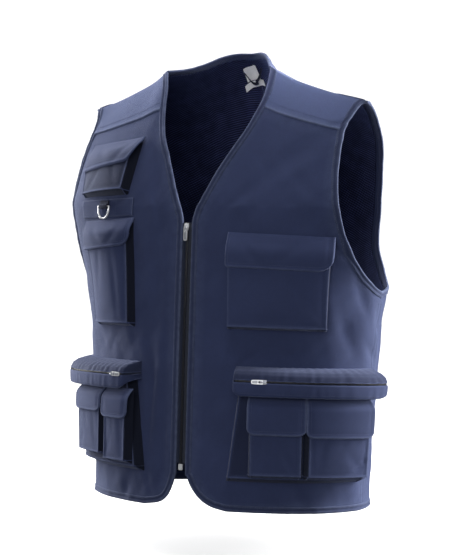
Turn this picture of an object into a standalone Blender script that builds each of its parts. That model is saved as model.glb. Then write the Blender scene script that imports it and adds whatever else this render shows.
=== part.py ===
"""Utility work vest: a hollow cloth body with bindings, a front zip and bellows pockets.

Metres, +Z up. The wearer faces -Y and the wearer's left is +X. The origin is midway between
the two neck points, where the vest hangs on the shoulders. A place on the cloth is a pair
(turn, level): turn is the angle round the trunk in degrees, 0 at the zip and 90 at the left
side seam; level is the height up to the chest and the way over the shoulder above it.
"""
import math

import bmesh
import bpy
import numpy as np
from mathutils import Vector

# Driving sizes
CLOTH = 0.0016            # thickness of the outer cloth
LINING = 0.0008           # thickness of the mesh lining
GAP = 0.0003              # gap between neighbouring pieces
SEAT = 0.0006             # gap under a piece that lies on the curved cloth
RIDGE_ROOM = 0.0008       # gap beside a binding where it crosses the shoulder ridge
BINDING_WIDTH = 0.0095    # bound edges
BINDING_RISE = 0.0007     # how far a binding stands above the cloth
BINDING_THICK = 0.0030
WALL = 0.0012             # pocket walls
FLAP = 0.0018             # pocket flaps

# Trunk
HALF_CHEST = 0.257        # half the width at chest level
BODY_Y = 0.063            # the trunk's middle behind the neck points
CHEST = -0.200            # above this level the cloth closes over the shoulder
RIDGE_RUN = -CHEST
ROUND_FRONT = 1.35
ROUND_BACK = 2.40

# Sections of the trunk: level, share of the half chest, front depth, back depth, squareness
SECTIONS = (
    (-0.640, 0.80934, 0.141, 0.195, 1.95),
    (-0.520, 0.83074, 0.140, 0.178, 1.95),
    (-0.400, 0.86965, 0.140, 0.151, 1.95),
    (-0.300, 0.91245, 0.139, 0.135, 2.10),
    (-0.200, 1.00000, 0.137, 0.134, 2.35),
    (-0.100, 0.98054, 0.130, 0.130, 2.40),
    (0.000, 0.97276, 0.125, 0.120, 2.30),
)

# Shoulder ridge: distance from the middle as a share of the half chest, height, distance
# behind the neck points
RIDGE = (
    (0.00000, 0.0600, 0.000),
    (0.08000, 0.0530, 0.000),
    (0.15000, 0.0360, 0.000),
    (0.20000, 0.0200, 0.000),
    (0.26000, 0.0050, 0.000),
    (0.32296, -0.0030, 0.000),
    (0.40856, -0.0150, 0.006),
    (0.55642, -0.0295, 0.014),
    (0.70039, -0.0410, 0.022),
    (0.86381, -0.0525, 0.029),
    (0.99222, -0.0700, 0.034),
)

# Soft folds: turn, level, half width across in degrees, half length, slant in degrees per metre, depth
FOLDS = (
    (-20.0, -0.330, 5.0, 0.110, 20.0, 0.0022),
    (14.0, -0.440, 5.5, 0.100, -15.0, 0.0018),
    (77.0, -0.345, 6.0, 0.050, 60.0, 0.0030),
    (-80.0, -0.345, 7.0, 0.050, -60.0, 0.0030),
    (112.0, -0.500, 8.0, 0.120, 0.0, 0.0040),
    (142.0, -0.440, 9.0, 0.150, 10.0, 0.0035),
    (180.0, -0.460, 10.0, 0.140, 0.0, 0.0030),
    (-142.0, -0.440, 9.0, 0.150, -10.0, 0.0035),
    (-112.0, -0.500, 8.0, 0.120, 0.0, 0.0040),
)

# Front edge from the neck point down to the zip: level, left turn, right turn
NECK_EDGE = (
    (0.000, 34.5, -34.5),
    (-0.030, 35.0, -32.2),
    (-0.060, 34.8, -29.4),
    (-0.080, 33.6, -28.0),
    (-0.107, 29.0, -25.0),
    (-0.133, 22.2, -19.8),
    (-0.158, 14.9, -13.2),
    (-0.187, 7.4, -7.0),
    (-0.213, 3.6, -3.4),
    (-0.224, 2.9, -2.9),
)
# Front edge beside the zip and round the corner of the hem: level, left turn, right turn
ZIP_TOP = -0.2225
ZIP_END = -0.5530
SLIDER_LEVEL = -0.2285
ZIP_EDGE = (
    (-0.224, 2.9, -2.9),
    (-0.390, 2.9, -2.9),
    (ZIP_END, 2.9, -2.9),
    (-0.570, 4.2, -3.4),
    (-0.586, 7.2, -5.2),
    (-0.600, 12.5, -8.6),
    (-0.609, 19.0, -14.0),
    (-0.614, 27.0, -24.0),
)
# Armhole from the shoulder tip to the side seam, front: level, left turn, right turn
ARM_FRONT = (
    (0.000, 73.2, -73.2),
    (-0.030, 70.0, -70.5),
    (-0.063, 67.4, -69.0),
    (-0.095, 65.4, -70.5),
    (-0.125, 64.9, -72.5),
    (-0.163, 65.2, -74.0),
    (-0.209, 66.6, -74.2),
    (-0.248, 70.4, -75.0),
    (-0.281, 77.0, -79.5),
    (-0.303, 85.0, -85.5),
    (-0.310, 90.0, -90.0),
)
# Armhole, back: level, turn
ARM_BACK = (
    (0.000, 106.2),
    (-0.030, 110.0),
    (-0.060, 112.0),
    (-0.098, 114.0),
    (-0.130, 116.0),
    (-0.170, 118.3),
    (-0.205, 119.3),
    (-0.240, 117.5),
    (-0.270, 112.5),
    (-0.296, 103.0),
    (-0.310, 90.0),
)
# Back of the neck: level, turn
NECK_BACK = (
    (0.000, 145.3),
    (-0.020, 153.0),
    (-0.040, 161.5),
    (-0.056, 171.0),
    (-0.063, 180.0),
)
HEM_LEVEL = -0.614
YOKE_LEVEL = -0.086       # yoke seam
SEAM_TURN = 0.06          # half the gap at the side seam, in degrees
SEAM_LEVEL = 0.0002       # half the gap at the yoke seam
RIDGE_GAP = 0.00025       # half the gap at the shoulder seam
LINING_GAP = 0.0020       # the lining hangs this far inside the back
LABEL_GAP = 0.0023        # room for the lining's flat facets under the labels
LOOP_LEVEL = -0.0740      # ends of the hanging loop
LOOP_SAG = 0.018
LOOP_TURNS = (173.5, 190.5)
LOOP_ROOM = 0.0026         # more room under the loop's ends than under the labels
# Blank labels: name, first turn, last turn, top, bottom, how much further inwards
LABELS = (
    ("neck_label", 178.5, 189.5, -0.0730, -0.0900, 0.0016),
    ("size_label", 177.0, 192.5, -0.0915, -0.0985, 0.0010),
)
LOOP_REACH = 0.0080       # how far the loop stands in from the lining
YOKE_ROWS = 4             # rows of cloth between the yoke seam and the shoulder ridge
V_ROWS = 6                # rows from the yoke seam to the zip
ZIP_ROWS = 8
CORNER_ROWS = 6
ARM_ROWS = 11             # rows from the yoke seam to the side seam
BACK_ARM_ROWS = 11
SIDE_ROWS = V_ROWS + ZIP_ROWS + CORNER_ROWS - ARM_ROWS
FRONT_COLUMNS = 11
SHOULDER_COLUMNS = 4
NECK_COLUMNS = 10

# Colours, linear
NAVY = (0.030, 0.038, 0.083)
NAVY_LIGHT = (0.088, 0.108, 0.195)
NAVY_DARK = (0.020, 0.025, 0.055)
MESH_DARK = (0.008, 0.009, 0.020)
BLACK = (0.012, 0.012, 0.016)
STEEL = (0.72, 0.73, 0.75)
WHITE = (0.78, 0.78, 0.77)


def clear_scene():
    for thing in list(bpy.data.objects):
        bpy.data.objects.remove(thing, do_unlink=True)


def material(name, colour, roughness, metallic=0.0):
    found = bpy.data.materials.get(name)
    if found:
        return found
    made = bpy.data.materials.new(name)
    made.use_nodes = True
    shader = made.node_tree.nodes["Principled BSDF"]
    shader.inputs["Base Color"].default_value = (*colour, 1.0)
    shader.inputs["Roughness"].default_value = roughness
    shader.inputs["Metallic"].default_value = metallic
    made.diffuse_color = (*colour, 1.0)
    return made


def through(rows, at, column):
    """Smooth curve through one column of a table, against its first column."""
    table = np.array(rows, float)
    order = np.argsort(table[:, 0], kind="stable")
    keys = table[order, 0]
    values = table[order, column]
    slopes = np.gradient(values, keys)
    at = np.clip(np.asarray(at, float), keys[0], keys[-1])
    low = np.clip(np.searchsorted(keys, at, side="right") - 1, 0, len(keys) - 2)
    span = keys[low + 1] - keys[low]
    u = (at - keys[low]) / span
    start = (2 * u**3 - 3 * u**2 + 1) * values[low] + (u**3 - 2 * u**2 + u) * span * slopes[low]
    end = (3 * u**2 - 2 * u**3) * values[low + 1] + (u**3 - u**2) * span * slopes[low + 1]
    return start + end


def fold_depth(turn, level):
    """How far the soft folds push the cloth in."""
    total = np.zeros(np.broadcast(turn, level).shape)
    for middle, height, across, length, slant, depth in FOLDS:
        away = (turn - middle - slant * (level - height) + 180.0) % 360.0 - 180.0
        total = total + depth * np.exp(-((away / across) ** 2) - ((level - height) / length) ** 2)
    return total


def body(turn, level):
    """Point on the outer face of the cloth."""
    turn = np.asarray(turn, float)
    level = np.asarray(level, float)
    angle = np.radians(turn)
    sine = np.sin(angle)
    cosine = np.cos(angle)
    front = cosine > 0
    half = HALF_CHEST * through(SECTIONS, level, 1)
    depth = np.where(front, through(SECTIONS, level, 2), through(SECTIONS, level, 3))
    square = through(SECTIONS, level, 4)
    reach = (np.abs(sine / half) ** square + np.abs(cosine / depth) ** square) ** (-1 / square)
    reach = reach - fold_depth(turn, level)
    x = reach * sine
    y = BODY_Y - reach * cosine
    climb = np.clip((level - CHEST) / RIDGE_RUN, 0.0, 1.0) * math.pi / 2
    roundness = np.where(front, ROUND_FRONT, ROUND_BACK)
    rise = np.sin(climb) ** (2 / roundness)
    keep = np.clip(np.cos(climb), 0.0, 1.0) ** (2 / roundness)
    top = through(RIDGE, np.abs(x) / HALF_CHEST, 1)
    behind = through(RIDGE, np.abs(x) / HALF_CHEST, 2)
    z = np.where(level <= CHEST, level, CHEST + (top - CHEST) * rise)
    y = np.where(level <= CHEST, y, behind + (y - behind) * keep)
    return np.stack(np.broadcast_arrays(x, y, z), -1)


def slopes(turn, level):
    """How the point moves for one degree of turn and one metre of level."""
    step_turn = 0.02
    step_level = 0.0002
    high = np.minimum(level + step_level, 0.0)
    low = level - step_level
    by_turn = (body(turn + step_turn, level) - body(turn - step_turn, level)) / (2 * step_turn)
    by_level = (body(turn, high) - body(turn, low)) / (high - low)[..., None]
    return by_turn, by_level


def normal(turn, level):
    turn, level = np.broadcast_arrays(np.asarray(turn, float), np.asarray(level, float))
    by_turn, by_level = slopes(turn, level)
    out = np.cross(by_turn, by_level)
    # on the shoulder ridge the cloth lies flat from front to back
    flat = np.cross(by_turn, np.array([0.0, 1.0, 0.0]))
    flat = flat * np.sign(flat[..., 2:])
    out = np.where((level > -1e-6)[..., None], flat, out)
    size = np.linalg.norm(out, axis=-1, keepdims=True)
    return out / np.maximum(size, 1e-12)


def lifted(turn, level, height):
    return body(turn, level) + normal(turn, level) * np.asarray(height)[..., None]


def spaced(rows, column, count, start=0.0, stop=1.0):
    """Evenly spaced (turn, level) pairs along a table's edge, between two shares of its length."""
    table = np.array([(row[column], row[0]) for row in rows], float)
    keys = np.linspace(0, 1, len(table))
    fine = np.linspace(0, 1, 400)
    turns = through([(k, v) for k, v in zip(keys, table[:, 0])], fine, 1)
    levels = through([(k, v) for k, v in zip(keys, table[:, 1])], fine, 1)
    points = body(turns, np.minimum(levels, 0.0))
    run = np.concatenate([[0], np.cumsum(np.linalg.norm(np.diff(points, axis=0), axis=1))])
    wanted = np.linspace(start, stop, count + 1) * run[-1]
    out = np.stack([np.interp(wanted, run, turns), np.interp(wanted, run, levels)], -1)
    out[:, 1] = np.minimum(out[:, 1], 0.0)
    return out


def share_at(rows, column, level):
    """Share of an edge's length at which it reaches a level."""
    steps = spaced(rows, column, 300)
    return float(np.interp(-level, -steps[:, 1], np.linspace(0, 1, len(steps))))


def inset(edge, distance, keep_level=(), keep_turn=()):
    """Move an edge sideways over the cloth, to the left of its own direction for a positive distance."""
    turn, level = edge[:, 0], edge[:, 1]
    points = body(turn, level)
    along = np.gradient(points, axis=0)
    along /= np.linalg.norm(along, axis=1, keepdims=True)
    out = normal(turn, level)
    aside = np.cross(out, along)
    aside /= np.linalg.norm(aside, axis=1, keepdims=True)
    by_turn, by_level = slopes(turn, level)
    moved = edge.copy()
    for i in range(len(edge)):
        if i in keep_level or i - len(edge) in keep_level:
            pace = np.linalg.norm(by_turn[i]) * np.sign(by_turn[i] @ aside[i])
            moved[i, 0] += distance / pace
        elif i in keep_turn or i - len(edge) in keep_turn:
            pace = by_level[i] @ aside[i]
            moved[i, 1] += distance / pace
        else:
            both = np.stack([by_turn[i], by_level[i]], 1)
            step = np.linalg.lstsq(both, aside[i] * distance, rcond=None)[0]
            moved[i] += step
    moved[:, 1] = np.minimum(moved[:, 1], 0.0)
    return moved


def patch(bottom, top, left, right):
    """Grid of (turn, level) pairs between four edges, rows from bottom to top."""
    s = np.linspace(0, 1, len(bottom))[None, :, None]
    t = np.linspace(0, 1, len(left))[:, None, None]
    across = (1 - t) * bottom[None] + t * top[None]
    upward = (1 - s) * left[:, None] + s * right[:, None]
    corners = (1 - s) * (1 - t) * bottom[0] + s * (1 - t) * bottom[-1]
    corners = corners + (1 - s) * t * top[0] + s * t * top[-1]
    return across + upward - corners


def slab_mesh(outer, inner):
    """Closed body between two grids of points."""
    rows, columns = outer.shape[:2]
    verts = np.concatenate([outer.reshape(-1, 3), inner.reshape(-1, 3)])
    half = rows * columns
    faces = []
    for r in range(rows - 1):
        for c in range(columns - 1):
            a = r * columns + c
            quad = (a, a + 1, a + columns + 1, a + columns)
            faces.append(quad)
            faces.append(tuple(half + k for k in reversed(quad)))
    rim = [c for c in range(columns)]
    rim += [r * columns + columns - 1 for r in range(1, rows)]
    rim += [(rows - 1) * columns + c for c in range(columns - 2, -1, -1)]
    rim += [r * columns for r in range(rows - 2, 0, -1)]
    for k, a in enumerate(rim):
        b = rim[(k + 1) % len(rim)]
        faces.append((b, a, half + a, half + b))
    return verts, faces


def loop_mesh(rings, closed):
    """Closed body from a row of rings of points, joined end to end or capped."""
    count = len(rings)
    size = len(rings[0])
    verts = np.concatenate(rings)
    faces = []
    last = count if closed else count - 1
    for i in range(last):
        j = (i + 1) % count
        for k in range(size):
            m = (k + 1) % size
            faces.append((i * size + k, i * size + m, j * size + m, j * size + k))
    if not closed:
        faces.append(tuple(reversed(range(size))))
        faces.append(tuple((count - 1) * size + k for k in range(size)))
    return verts, faces


def add_piece(name, verts, faces, made_of, smooth=True):
    mesh = bpy.data.meshes.new(name)
    mesh.from_pydata([tuple(float(n) for n in v) for v in verts], [], faces)
    work = bmesh.new()
    work.from_mesh(mesh)
    bmesh.ops.triangulate(work, faces=work.faces[:])
    bmesh.ops.recalc_face_normals(work, faces=work.faces[:])
    if work.calc_volume(signed=True) < 0:
        bmesh.ops.reverse_faces(work, faces=work.faces[:])
    work.to_mesh(mesh)
    work.free()
    for face in mesh.polygons:
        face.use_smooth = smooth
    mesh.materials.append(made_of)
    piece = bpy.data.objects.new(name, mesh)
    bpy.context.scene.collection.objects.link(piece)
    return piece


def sheet(name, grid, outer, inner, made_of, top_shift=0.0):
    """Cloth sheet over a grid of (turn, level) pairs, between two heights over the body."""
    turn, level = grid[..., 0], grid[..., 1]
    flat = np.ones(turn.shape)
    high = lifted(turn, level, outer * flat)
    low = lifted(turn, level, inner * flat)
    on_ridge = (level > -1e-6)[..., None]
    shift = np.where(on_ridge, np.array([0.0, top_shift, 0.0]), 0.0)
    verts, faces = slab_mesh(high + shift, low + shift)
    return add_piece(name, verts, faces, made_of)


def binding(name, outer_edges, inner_edges, made_of, closed=False, ridge_shift=0.0):
    """Bound edge: a strip between an outer and an inner edge, given as runs of (turn, level)."""
    rings = []
    for outer_edge, inner_edge in zip(outer_edges, inner_edges):
        for far, near in zip(outer_edge, inner_edge):
            corners = []
            for spot, height in (
                (far, BINDING_RISE - 0.0004),
                (near, BINDING_RISE),
                (near, BINDING_RISE - BINDING_THICK),
                (far, BINDING_RISE - BINDING_THICK + 0.0004),
            ):
                shift = ridge_shift if spot[1] > -1e-6 else 0.0
                corners.append(lifted(spot[0], spot[1], np.asarray(height)) + np.array([0.0, shift, 0.0]))
            rings.append(np.array(corners))
    # a run that starts where the last one ended shares its section with it
    merged = [rings[0]]
    for ring in rings[1:]:
        if np.linalg.norm(ring.mean(0) - merged[-1].mean(0)) < 0.002:
            merged[-1] = (merged[-1] + ring) / 2
        else:
            merged.append(ring)
    if closed and np.linalg.norm(merged[0].mean(0) - merged[-1].mean(0)) < 0.002:
        merged[0] = (merged[0] + merged[-1]) / 2
        merged.pop()
    verts, faces = loop_mesh(merged, closed)
    return add_piece(name, verts, faces, made_of)


class Outline:
    """The vest's edges, each as (turn, level) pairs, with the line where the cloth ends."""

    def __init__(self, side):
        column = 1 if side > 0 else 2
        share = share_at(NECK_EDGE, column, YOKE_LEVEL)
        arm_share = share_at(ARM_FRONT, column, YOKE_LEVEL)
        neck = spaced(NECK_EDGE, column, YOKE_ROWS, 0.0, share)
        vee = spaced(NECK_EDGE, column, V_ROWS, share, 1.0)
        straight_share = share_at(ZIP_EDGE, column, ZIP_END)
        straight = spaced(ZIP_EDGE, column, ZIP_ROWS, 0.0, straight_share)
        corner = spaced(ZIP_EDGE, column, CORNER_ROWS, straight_share, 1.0)
        self.front = np.concatenate([neck, vee[1:], straight[1:], corner[1:]])
        hem_turns = np.linspace(self.front[-1, 0], 90.0 * side, FRONT_COLUMNS + 1)
        self.hem = np.stack([hem_turns, np.full(len(hem_turns), HEM_LEVEL)], -1)
        arm_top = spaced(ARM_FRONT, column, YOKE_ROWS, 0.0, arm_share)
        arm_low = spaced(ARM_FRONT, column, ARM_ROWS, arm_share, 1.0)
        self.arm = np.concatenate([arm_top, arm_low[1:]])
        # edges of the cloth, one binding and one gap in from the outline
        reach = BINDING_WIDTH
        chain = np.concatenate([self.front, self.hem[1:]])
        strip = inset(chain, reach * side, keep_level=(0,), keep_turn=(-1,))
        cloth = inset(chain, (reach + GAP) * side, keep_level=(0,), keep_turn=(-1,))
        turn_at = len(self.front)
        self.front_strip, self.hem_strip = strip[:turn_at], strip[turn_at - 1:]
        self.front_cloth, self.hem_cloth = cloth[:turn_at], cloth[turn_at - 1:]
        self.arm_strip = inset(self.arm, -reach * side, keep_level=(0,), keep_turn=(-1,))
        self.arm_cloth = inset(self.arm, -(reach + GAP) * side, keep_level=(0,), keep_turn=(-1,))
        # a little more room where the bindings cross the shoulder ridge
        self.front_cloth[0] = inset(chain, (reach + RIDGE_ROOM) * side, keep_level=(0,))[0]
        self.arm_cloth[0] = inset(self.arm, -(reach + RIDGE_ROOM) * side, keep_level=(0,))[0]


class BackOutline:
    def __init__(self):
        self.arm = spaced(ARM_BACK, 1, BACK_ARM_ROWS)
        self.arm_strip = inset(self.arm, BINDING_WIDTH, keep_level=(0,), keep_turn=(-1,))
        self.arm_cloth = inset(self.arm, BINDING_WIDTH + GAP, keep_level=(0,), keep_turn=(-1,))
        self.arm_cloth[0] = inset(self.arm, BINDING_WIDTH + RIDGE_ROOM, keep_level=(0,))[0]
        half = spaced(NECK_BACK, 1, NECK_COLUMNS // 2)
        mirror = np.stack([360.0 - half[::-1, 0], half[::-1, 1]], -1)
        self.neck = np.concatenate([half, mirror[1:]])
        self.neck_strip = inset(self.neck, -BINDING_WIDTH, keep_level=(0, -1))
        self.neck_cloth = inset(self.neck, -(BINDING_WIDTH + GAP), keep_level=(0, -1))
        turns = np.linspace(90.0, 270.0, 2 * SHOULDER_COLUMNS + NECK_COLUMNS + 1)
        self.hem = np.stack([turns, np.full(len(turns), HEM_LEVEL)], -1)
        self.hem_strip = inset(self.hem, BINDING_WIDTH, keep_turn=range(len(turns)))
        self.hem_cloth = inset(self.hem, BINDING_WIDTH + GAP, keep_turn=range(len(turns)))


def side_seam(low, high, shift):
    """Rows of the side seam between the hem and the armhole."""
    levels = np.linspace(low[1], high[1], SIDE_ROWS + 1)
    return np.stack([np.full(SIDE_ROWS + 1, low[0] + shift), levels], -1)


def front_panels(outlines, cloth, yoke_cloth):
    for side, word in ((1, "left"), (-1, "right")):
        line = outlines[side]
        edge = line.front_cloth[YOKE_ROWS:][::-1]
        arm = line.arm_cloth[YOKE_ROWS:][::-1]
        seam = side_seam(line.hem_cloth[-1], arm[0], -SEAM_TURN * side)
        arm[0, 0] = seam[-1, 0]
        outer_edge = np.concatenate([seam, arm[1:]])
        bottom = line.hem_cloth.copy()
        bottom[-1] = outer_edge[0]
        s = np.linspace(0, 1, FRONT_COLUMNS + 1)[:, None]
        top = (1 - s) * edge[-1] + s * outer_edge[-1]
        grid = patch(bottom, top, edge, outer_edge)
        panel = grid.copy()
        panel[-1, :, 1] -= SEAM_LEVEL
        sheet("front_panel_" + word, panel, 0.0, -CLOTH, cloth)
        ridge_turns = np.linspace(line.front_cloth[0, 0], line.arm_cloth[0, 0], FRONT_COLUMNS + 1)
        ridge = np.stack([ridge_turns, np.zeros(FRONT_COLUMNS + 1)], -1)
        left = line.front_cloth[:YOKE_ROWS + 1][::-1]
        right = line.arm_cloth[:YOKE_ROWS + 1][::-1]
        yoke = patch(top, ridge, left, right)
        yoke[0, :, 1] += SEAM_LEVEL
        sheet("yoke_" + word, yoke, 0.0, -CLOTH, yoke_cloth, top_shift=-RIDGE_GAP)


def back_panels(back, cloth, mesh_cloth):
    left_arm = back.arm_cloth[::-1].copy()
    seam = side_seam(back.hem_cloth[0], left_arm[0], SEAM_TURN)
    left_arm[0, 0] = seam[-1, 0]
    left = np.concatenate([seam, left_arm[1:]])
    right = np.stack([360.0 - left[:, 0], left[:, 1]], -1)
    bottom = back.hem_cloth.copy()
    bottom[0] = left[0]
    bottom[-1] = right[0]
    tip = left[-1, 0]
    neck = back.neck_cloth
    shoulder = np.stack([np.linspace(tip, neck[0, 0], SHOULDER_COLUMNS + 1), np.zeros(SHOULDER_COLUMNS + 1)], -1)
    other = np.stack([360.0 - shoulder[::-1, 0], shoulder[::-1, 1]], -1)
    top = np.concatenate([shoulder, neck[1:-1], other])
    grid = patch(bottom, top, left, right)
    sheet("back_panel", grid, 0.0, -CLOTH, cloth, top_shift=RIDGE_GAP)
    # the lining stops short of the back panel's own edge
    middle = grid.mean(axis=(0, 1))
    small = middle + (grid - middle) * np.array([0.985, 0.985])
    low = -CLOTH - LINING_GAP
    rows = list(range(0, 12, 3)) + list(range(12, len(small)))
    sheet("back_lining", small[rows], low, low - LINING, mesh_cloth)


def bindings(outlines, back, cloth):
    for side, word in ((1, "left"), (-1, "right")):
        line = outlines[side]
        binding("front_binding_" + word, [line.front], [line.front_strip], cloth, ridge_shift=-RIDGE_GAP)
        far = back.arm if side > 0 else np.stack([-back.arm[:, 0], back.arm[:, 1]], -1)
        near = back.arm_strip if side > 0 else np.stack([-back.arm_strip[:, 0], back.arm_strip[:, 1]], -1)
        binding(
            "armhole_binding_" + word,
            [line.arm, far[::-1]],
            [line.arm_strip, near[::-1]],
            cloth,
            closed=True,
        )
    binding("back_neck_binding", [trim(back.neck)], [trim(back.neck_strip)], cloth)
    right = outlines[-1]
    left = outlines[1]
    right_hem = right.hem[::-1].copy()
    right_strip = right.hem_strip[::-1].copy()
    far = [left.hem, back.hem, right_hem + np.array([360.0, 0.0])]
    near = [left.hem_strip, back.hem_strip, right_strip + np.array([360.0, 0.0])]
    far[0] = start_later(far[0])
    near[0] = start_later(near[0])
    far[2] = start_later(far[2][::-1])[::-1]
    near[2] = start_later(near[2][::-1])[::-1]
    binding("hem_binding", far, near, cloth)


def start_later(edge):
    """Leave the gap between two bindings at the start of the second."""
    moved = edge.copy()
    moved[0] = moved[0] + (moved[1] - moved[0]) * 0.03
    return moved


def trim(edge):
    moved = start_later(edge)
    return start_later(moved[::-1])[::-1]


# Pockets: name, turn at the zip side (top, bottom), turn at the far side (top, bottom),
# top and bottom level, depth, extra depth at the ends, height under it, run of the slope at the top
POCKETS = (
    ("chest_pocket_left", 25.4, 25.6, 65.4, 67.2, -0.2425, -0.366, 0.0120, 0.0000, SEAT, 0.030),
    ("upper_pocket_right", -36.6, -38.9, -66.0, -63.5, -0.1165, -0.1745, 0.0180, 0.0000, SEAT, 0.022),
    ("tall_pocket_right", -34.4, -33.2, -61.5, -60.5, -0.2225, -0.368, 0.0190, 0.0000, SEAT, 0.022),
    ("lower_pocket_left", 33.2, 27.0, 86.0, 86.5, -0.4300, -0.572, 0.0130, 0.0040, 0.0012, 0.020),
    ("lower_pocket_right", -31.6, -24.2, -86.0, -86.5, -0.4300, -0.568, 0.0130, 0.0040, 0.0012, 0.020),
)
# Flaps: name, its pocket, turn at the zip side, turn at the far side, levels of its top and its
# lower edge at the zip side, then at the far side, rounding of the zip side and far side corners
FLAPS = (
    ("chest_flap_left", 0, 25.0, 65.9, -0.2345, -0.2825, -0.2385, -0.2845, 0.0060, 0.0180),
    ("upper_flap_right", 1, -35.2, -67.0, -0.1120, -0.1390, -0.1020, -0.1410, 0.0220, 0.0080),
    ("tall_flap_right", 2, -33.4, -62.4, -0.2155, -0.2540, -0.2205, -0.2610, 0.0160, 0.0080),
)


def bilinear(pocket, s, t):
    """Turn and level at shares (s across from the zip side, t up) of a pocket's outline."""
    _, zip_top, zip_low, far_top, far_low, top, low = pocket[:7]
    near = zip_low + (zip_top - zip_low) * t
    far = far_low + (far_top - far_low) * t
    return near + (far - near) * s, low + (top - low) * t


def swell(pocket, s, level, start):
    """Height of a pocket's front over the body, sloping away from its top seam.

    The seam's level is given at the zip side and at the far side.
    """
    depth, bow, base, run = pocket[7:11]
    start = start[0] + (start[1] - start[0]) * s
    along = np.clip((start - level) / run, 0.0, 1.0)
    full = depth + bow * (2 * s - 1) ** 2
    return base + (full - base) * np.sin(along * math.pi / 2)


def tray(name, pocket, start, columns, rows, made_of, under=None, edge=0.0035):
    """Pocket bag: front wall with side and bottom gussets, open at the top and towards the body."""
    middle = bilinear(pocket, np.array(0.5), np.array(0.5))
    by_turn, _ = slopes(np.array(middle[0]), np.array(middle[1]))
    width = abs(pocket[3] - pocket[1]) * np.linalg.norm(by_turn)
    height = pocket[5] - pocket[6]
    s_edge = edge / width
    t_edge = edge / height
    s_wall = WALL / width
    t_wall = WALL / height
    s_line = np.concatenate([[0.0], np.linspace(s_edge, 1 - s_edge, columns - 1), [1.0]])
    t_line = np.concatenate([[0.0], np.linspace(t_edge, 1.0, rows)])
    shells = []
    for inside in (False, True):
        s_use = s_line.copy()
        t_use = t_line.copy()
        if inside:
            lean = 1 - 2 * s_line
            s_use = s_line + s_wall * lean
            t_use = t_line + t_wall * (1 - t_line)
        s, t = np.meshgrid(s_use, t_use)
        s_out = np.meshgrid(s_line, t_line)[0]
        turn, level = bilinear(pocket, s, t)
        front = swell(pocket, s_out, level, start) - (WALL if inside else 0.0)
        low = under(turn, level) if under else np.full(s.shape, pocket[9])
        rim = np.zeros(s.shape, bool)
        rim[0, :] = True
        rim[:, 0] = True
        rim[:, -1] = True
        high = front + (low - pocket[9] if under else 0.0)
        rise = np.where(rim, low, np.maximum(high, low + (0.0008 if inside else 0.0022)))
        shells.append(lifted(turn, level, rise))
    verts, faces = slab_mesh(shells[0], shells[1])
    return add_piece(name, verts, faces, made_of)


def flap(name, pocket, row, columns, rows, made_of, under=None):
    """Pocket flap: seam at the top, rounded lower corners, lying just over its pocket."""
    _, _, zip_turn, far_turn, zip_top, zip_low, far_top, far_low, zip_round, far_round = row
    s, t = np.meshgrid(np.linspace(0, 1, columns + 1), np.linspace(0, 1, rows + 1))
    turn = zip_turn + (far_turn - zip_turn) * s
    top = zip_top + (far_top - zip_top) * s
    low = zip_low + (far_low - zip_low) * s
    width = abs(far_turn - zip_turn) * 0.0027
    lift = np.zeros(s.shape)
    for away, size in ((s * width, zip_round), ((1 - s) * width, far_round)):
        part = np.clip(1 - away / size, 0.0, 1.0)
        lift = np.maximum(lift, size * (1 - np.sqrt(np.maximum(1 - part**2, 0.0))))
    level = top + (low + lift - top) * t
    under_rise = under(turn, level) if under else 0.0
    height = swell(pocket, s, level, (zip_top, far_top)) + under_rise
    inner = lifted(turn, level, height + 0.0009)
    outer = lifted(turn, level, height + 0.0009 + FLAP)
    verts, faces = slab_mesh(outer, inner)
    return add_piece(name, verts, faces, made_of)


# Small pockets on the fronts of the lower pockets: name, lower pocket, turns at the zip side
# and the far side, top and bottom level, lower edge of the flap
SMALL_POCKETS = (
    ("inner_small_pocket_left", 3, 38.6, 59.6, -0.4590, -0.5640, -0.5060),
    ("outer_small_pocket_left", 3, 61.0, 82.0, -0.4590, -0.5650, -0.5080),
    ("inner_small_pocket_right", 4, -27.6, -45.2, -0.4580, -0.5580, -0.4960),
    ("outer_small_pocket_right", 4, -46.8, -68.0, -0.4570, -0.5520, -0.4900),
)
SMALL_DEPTH = 0.0140
BAG_TOP = (-0.4160, -0.4160)   # seam of the lower pockets' lids


def bag_front(pocket):
    """Height of a lower pocket's front over the body, as a function of turn and level."""
    def rise(turn, level):
        t = np.clip((level - pocket[6]) / (pocket[5] - pocket[6]), 0.0, 1.0)
        near = pocket[2] + (pocket[1] - pocket[2]) * t
        far = pocket[4] + (pocket[3] - pocket[4]) * t
        s = np.clip((turn - near) / (far - near), 0.0, 1.0)
        return swell(pocket, s, level, BAG_TOP) + SEAT
    return rise


# Lid of a lower pocket, from its seam down: level, height over the body
LID_UPPER = ((-0.4160, SEAT), (-0.4190, 0.0150), (-0.4240, 0.0260), (-0.4300, 0.0315))
LID_ZIP = ((-0.4303, 0.0318), (-0.4365, 0.0335))
LID_BAND = ((-0.4368, 0.0337), (-0.4440, 0.0345), (-0.4525, 0.0330))
# Ends of the lids: side, turn at the zip side, turn at the far side
LIDS = ((1, 30.6, 88.4), (-1, -28.6, -88.4))
LID_COLUMNS = 12
LID_FOLD = 1.6                 # turn over which a lid folds down at its ends
LID_ZIP_LEVEL = -0.4334
LID_SLIDER_ROOM = 0.00135      # from the leaning zip strip to the slider's back
LID_SLIDER_TURNS = (44.5, -35.5)


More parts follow.
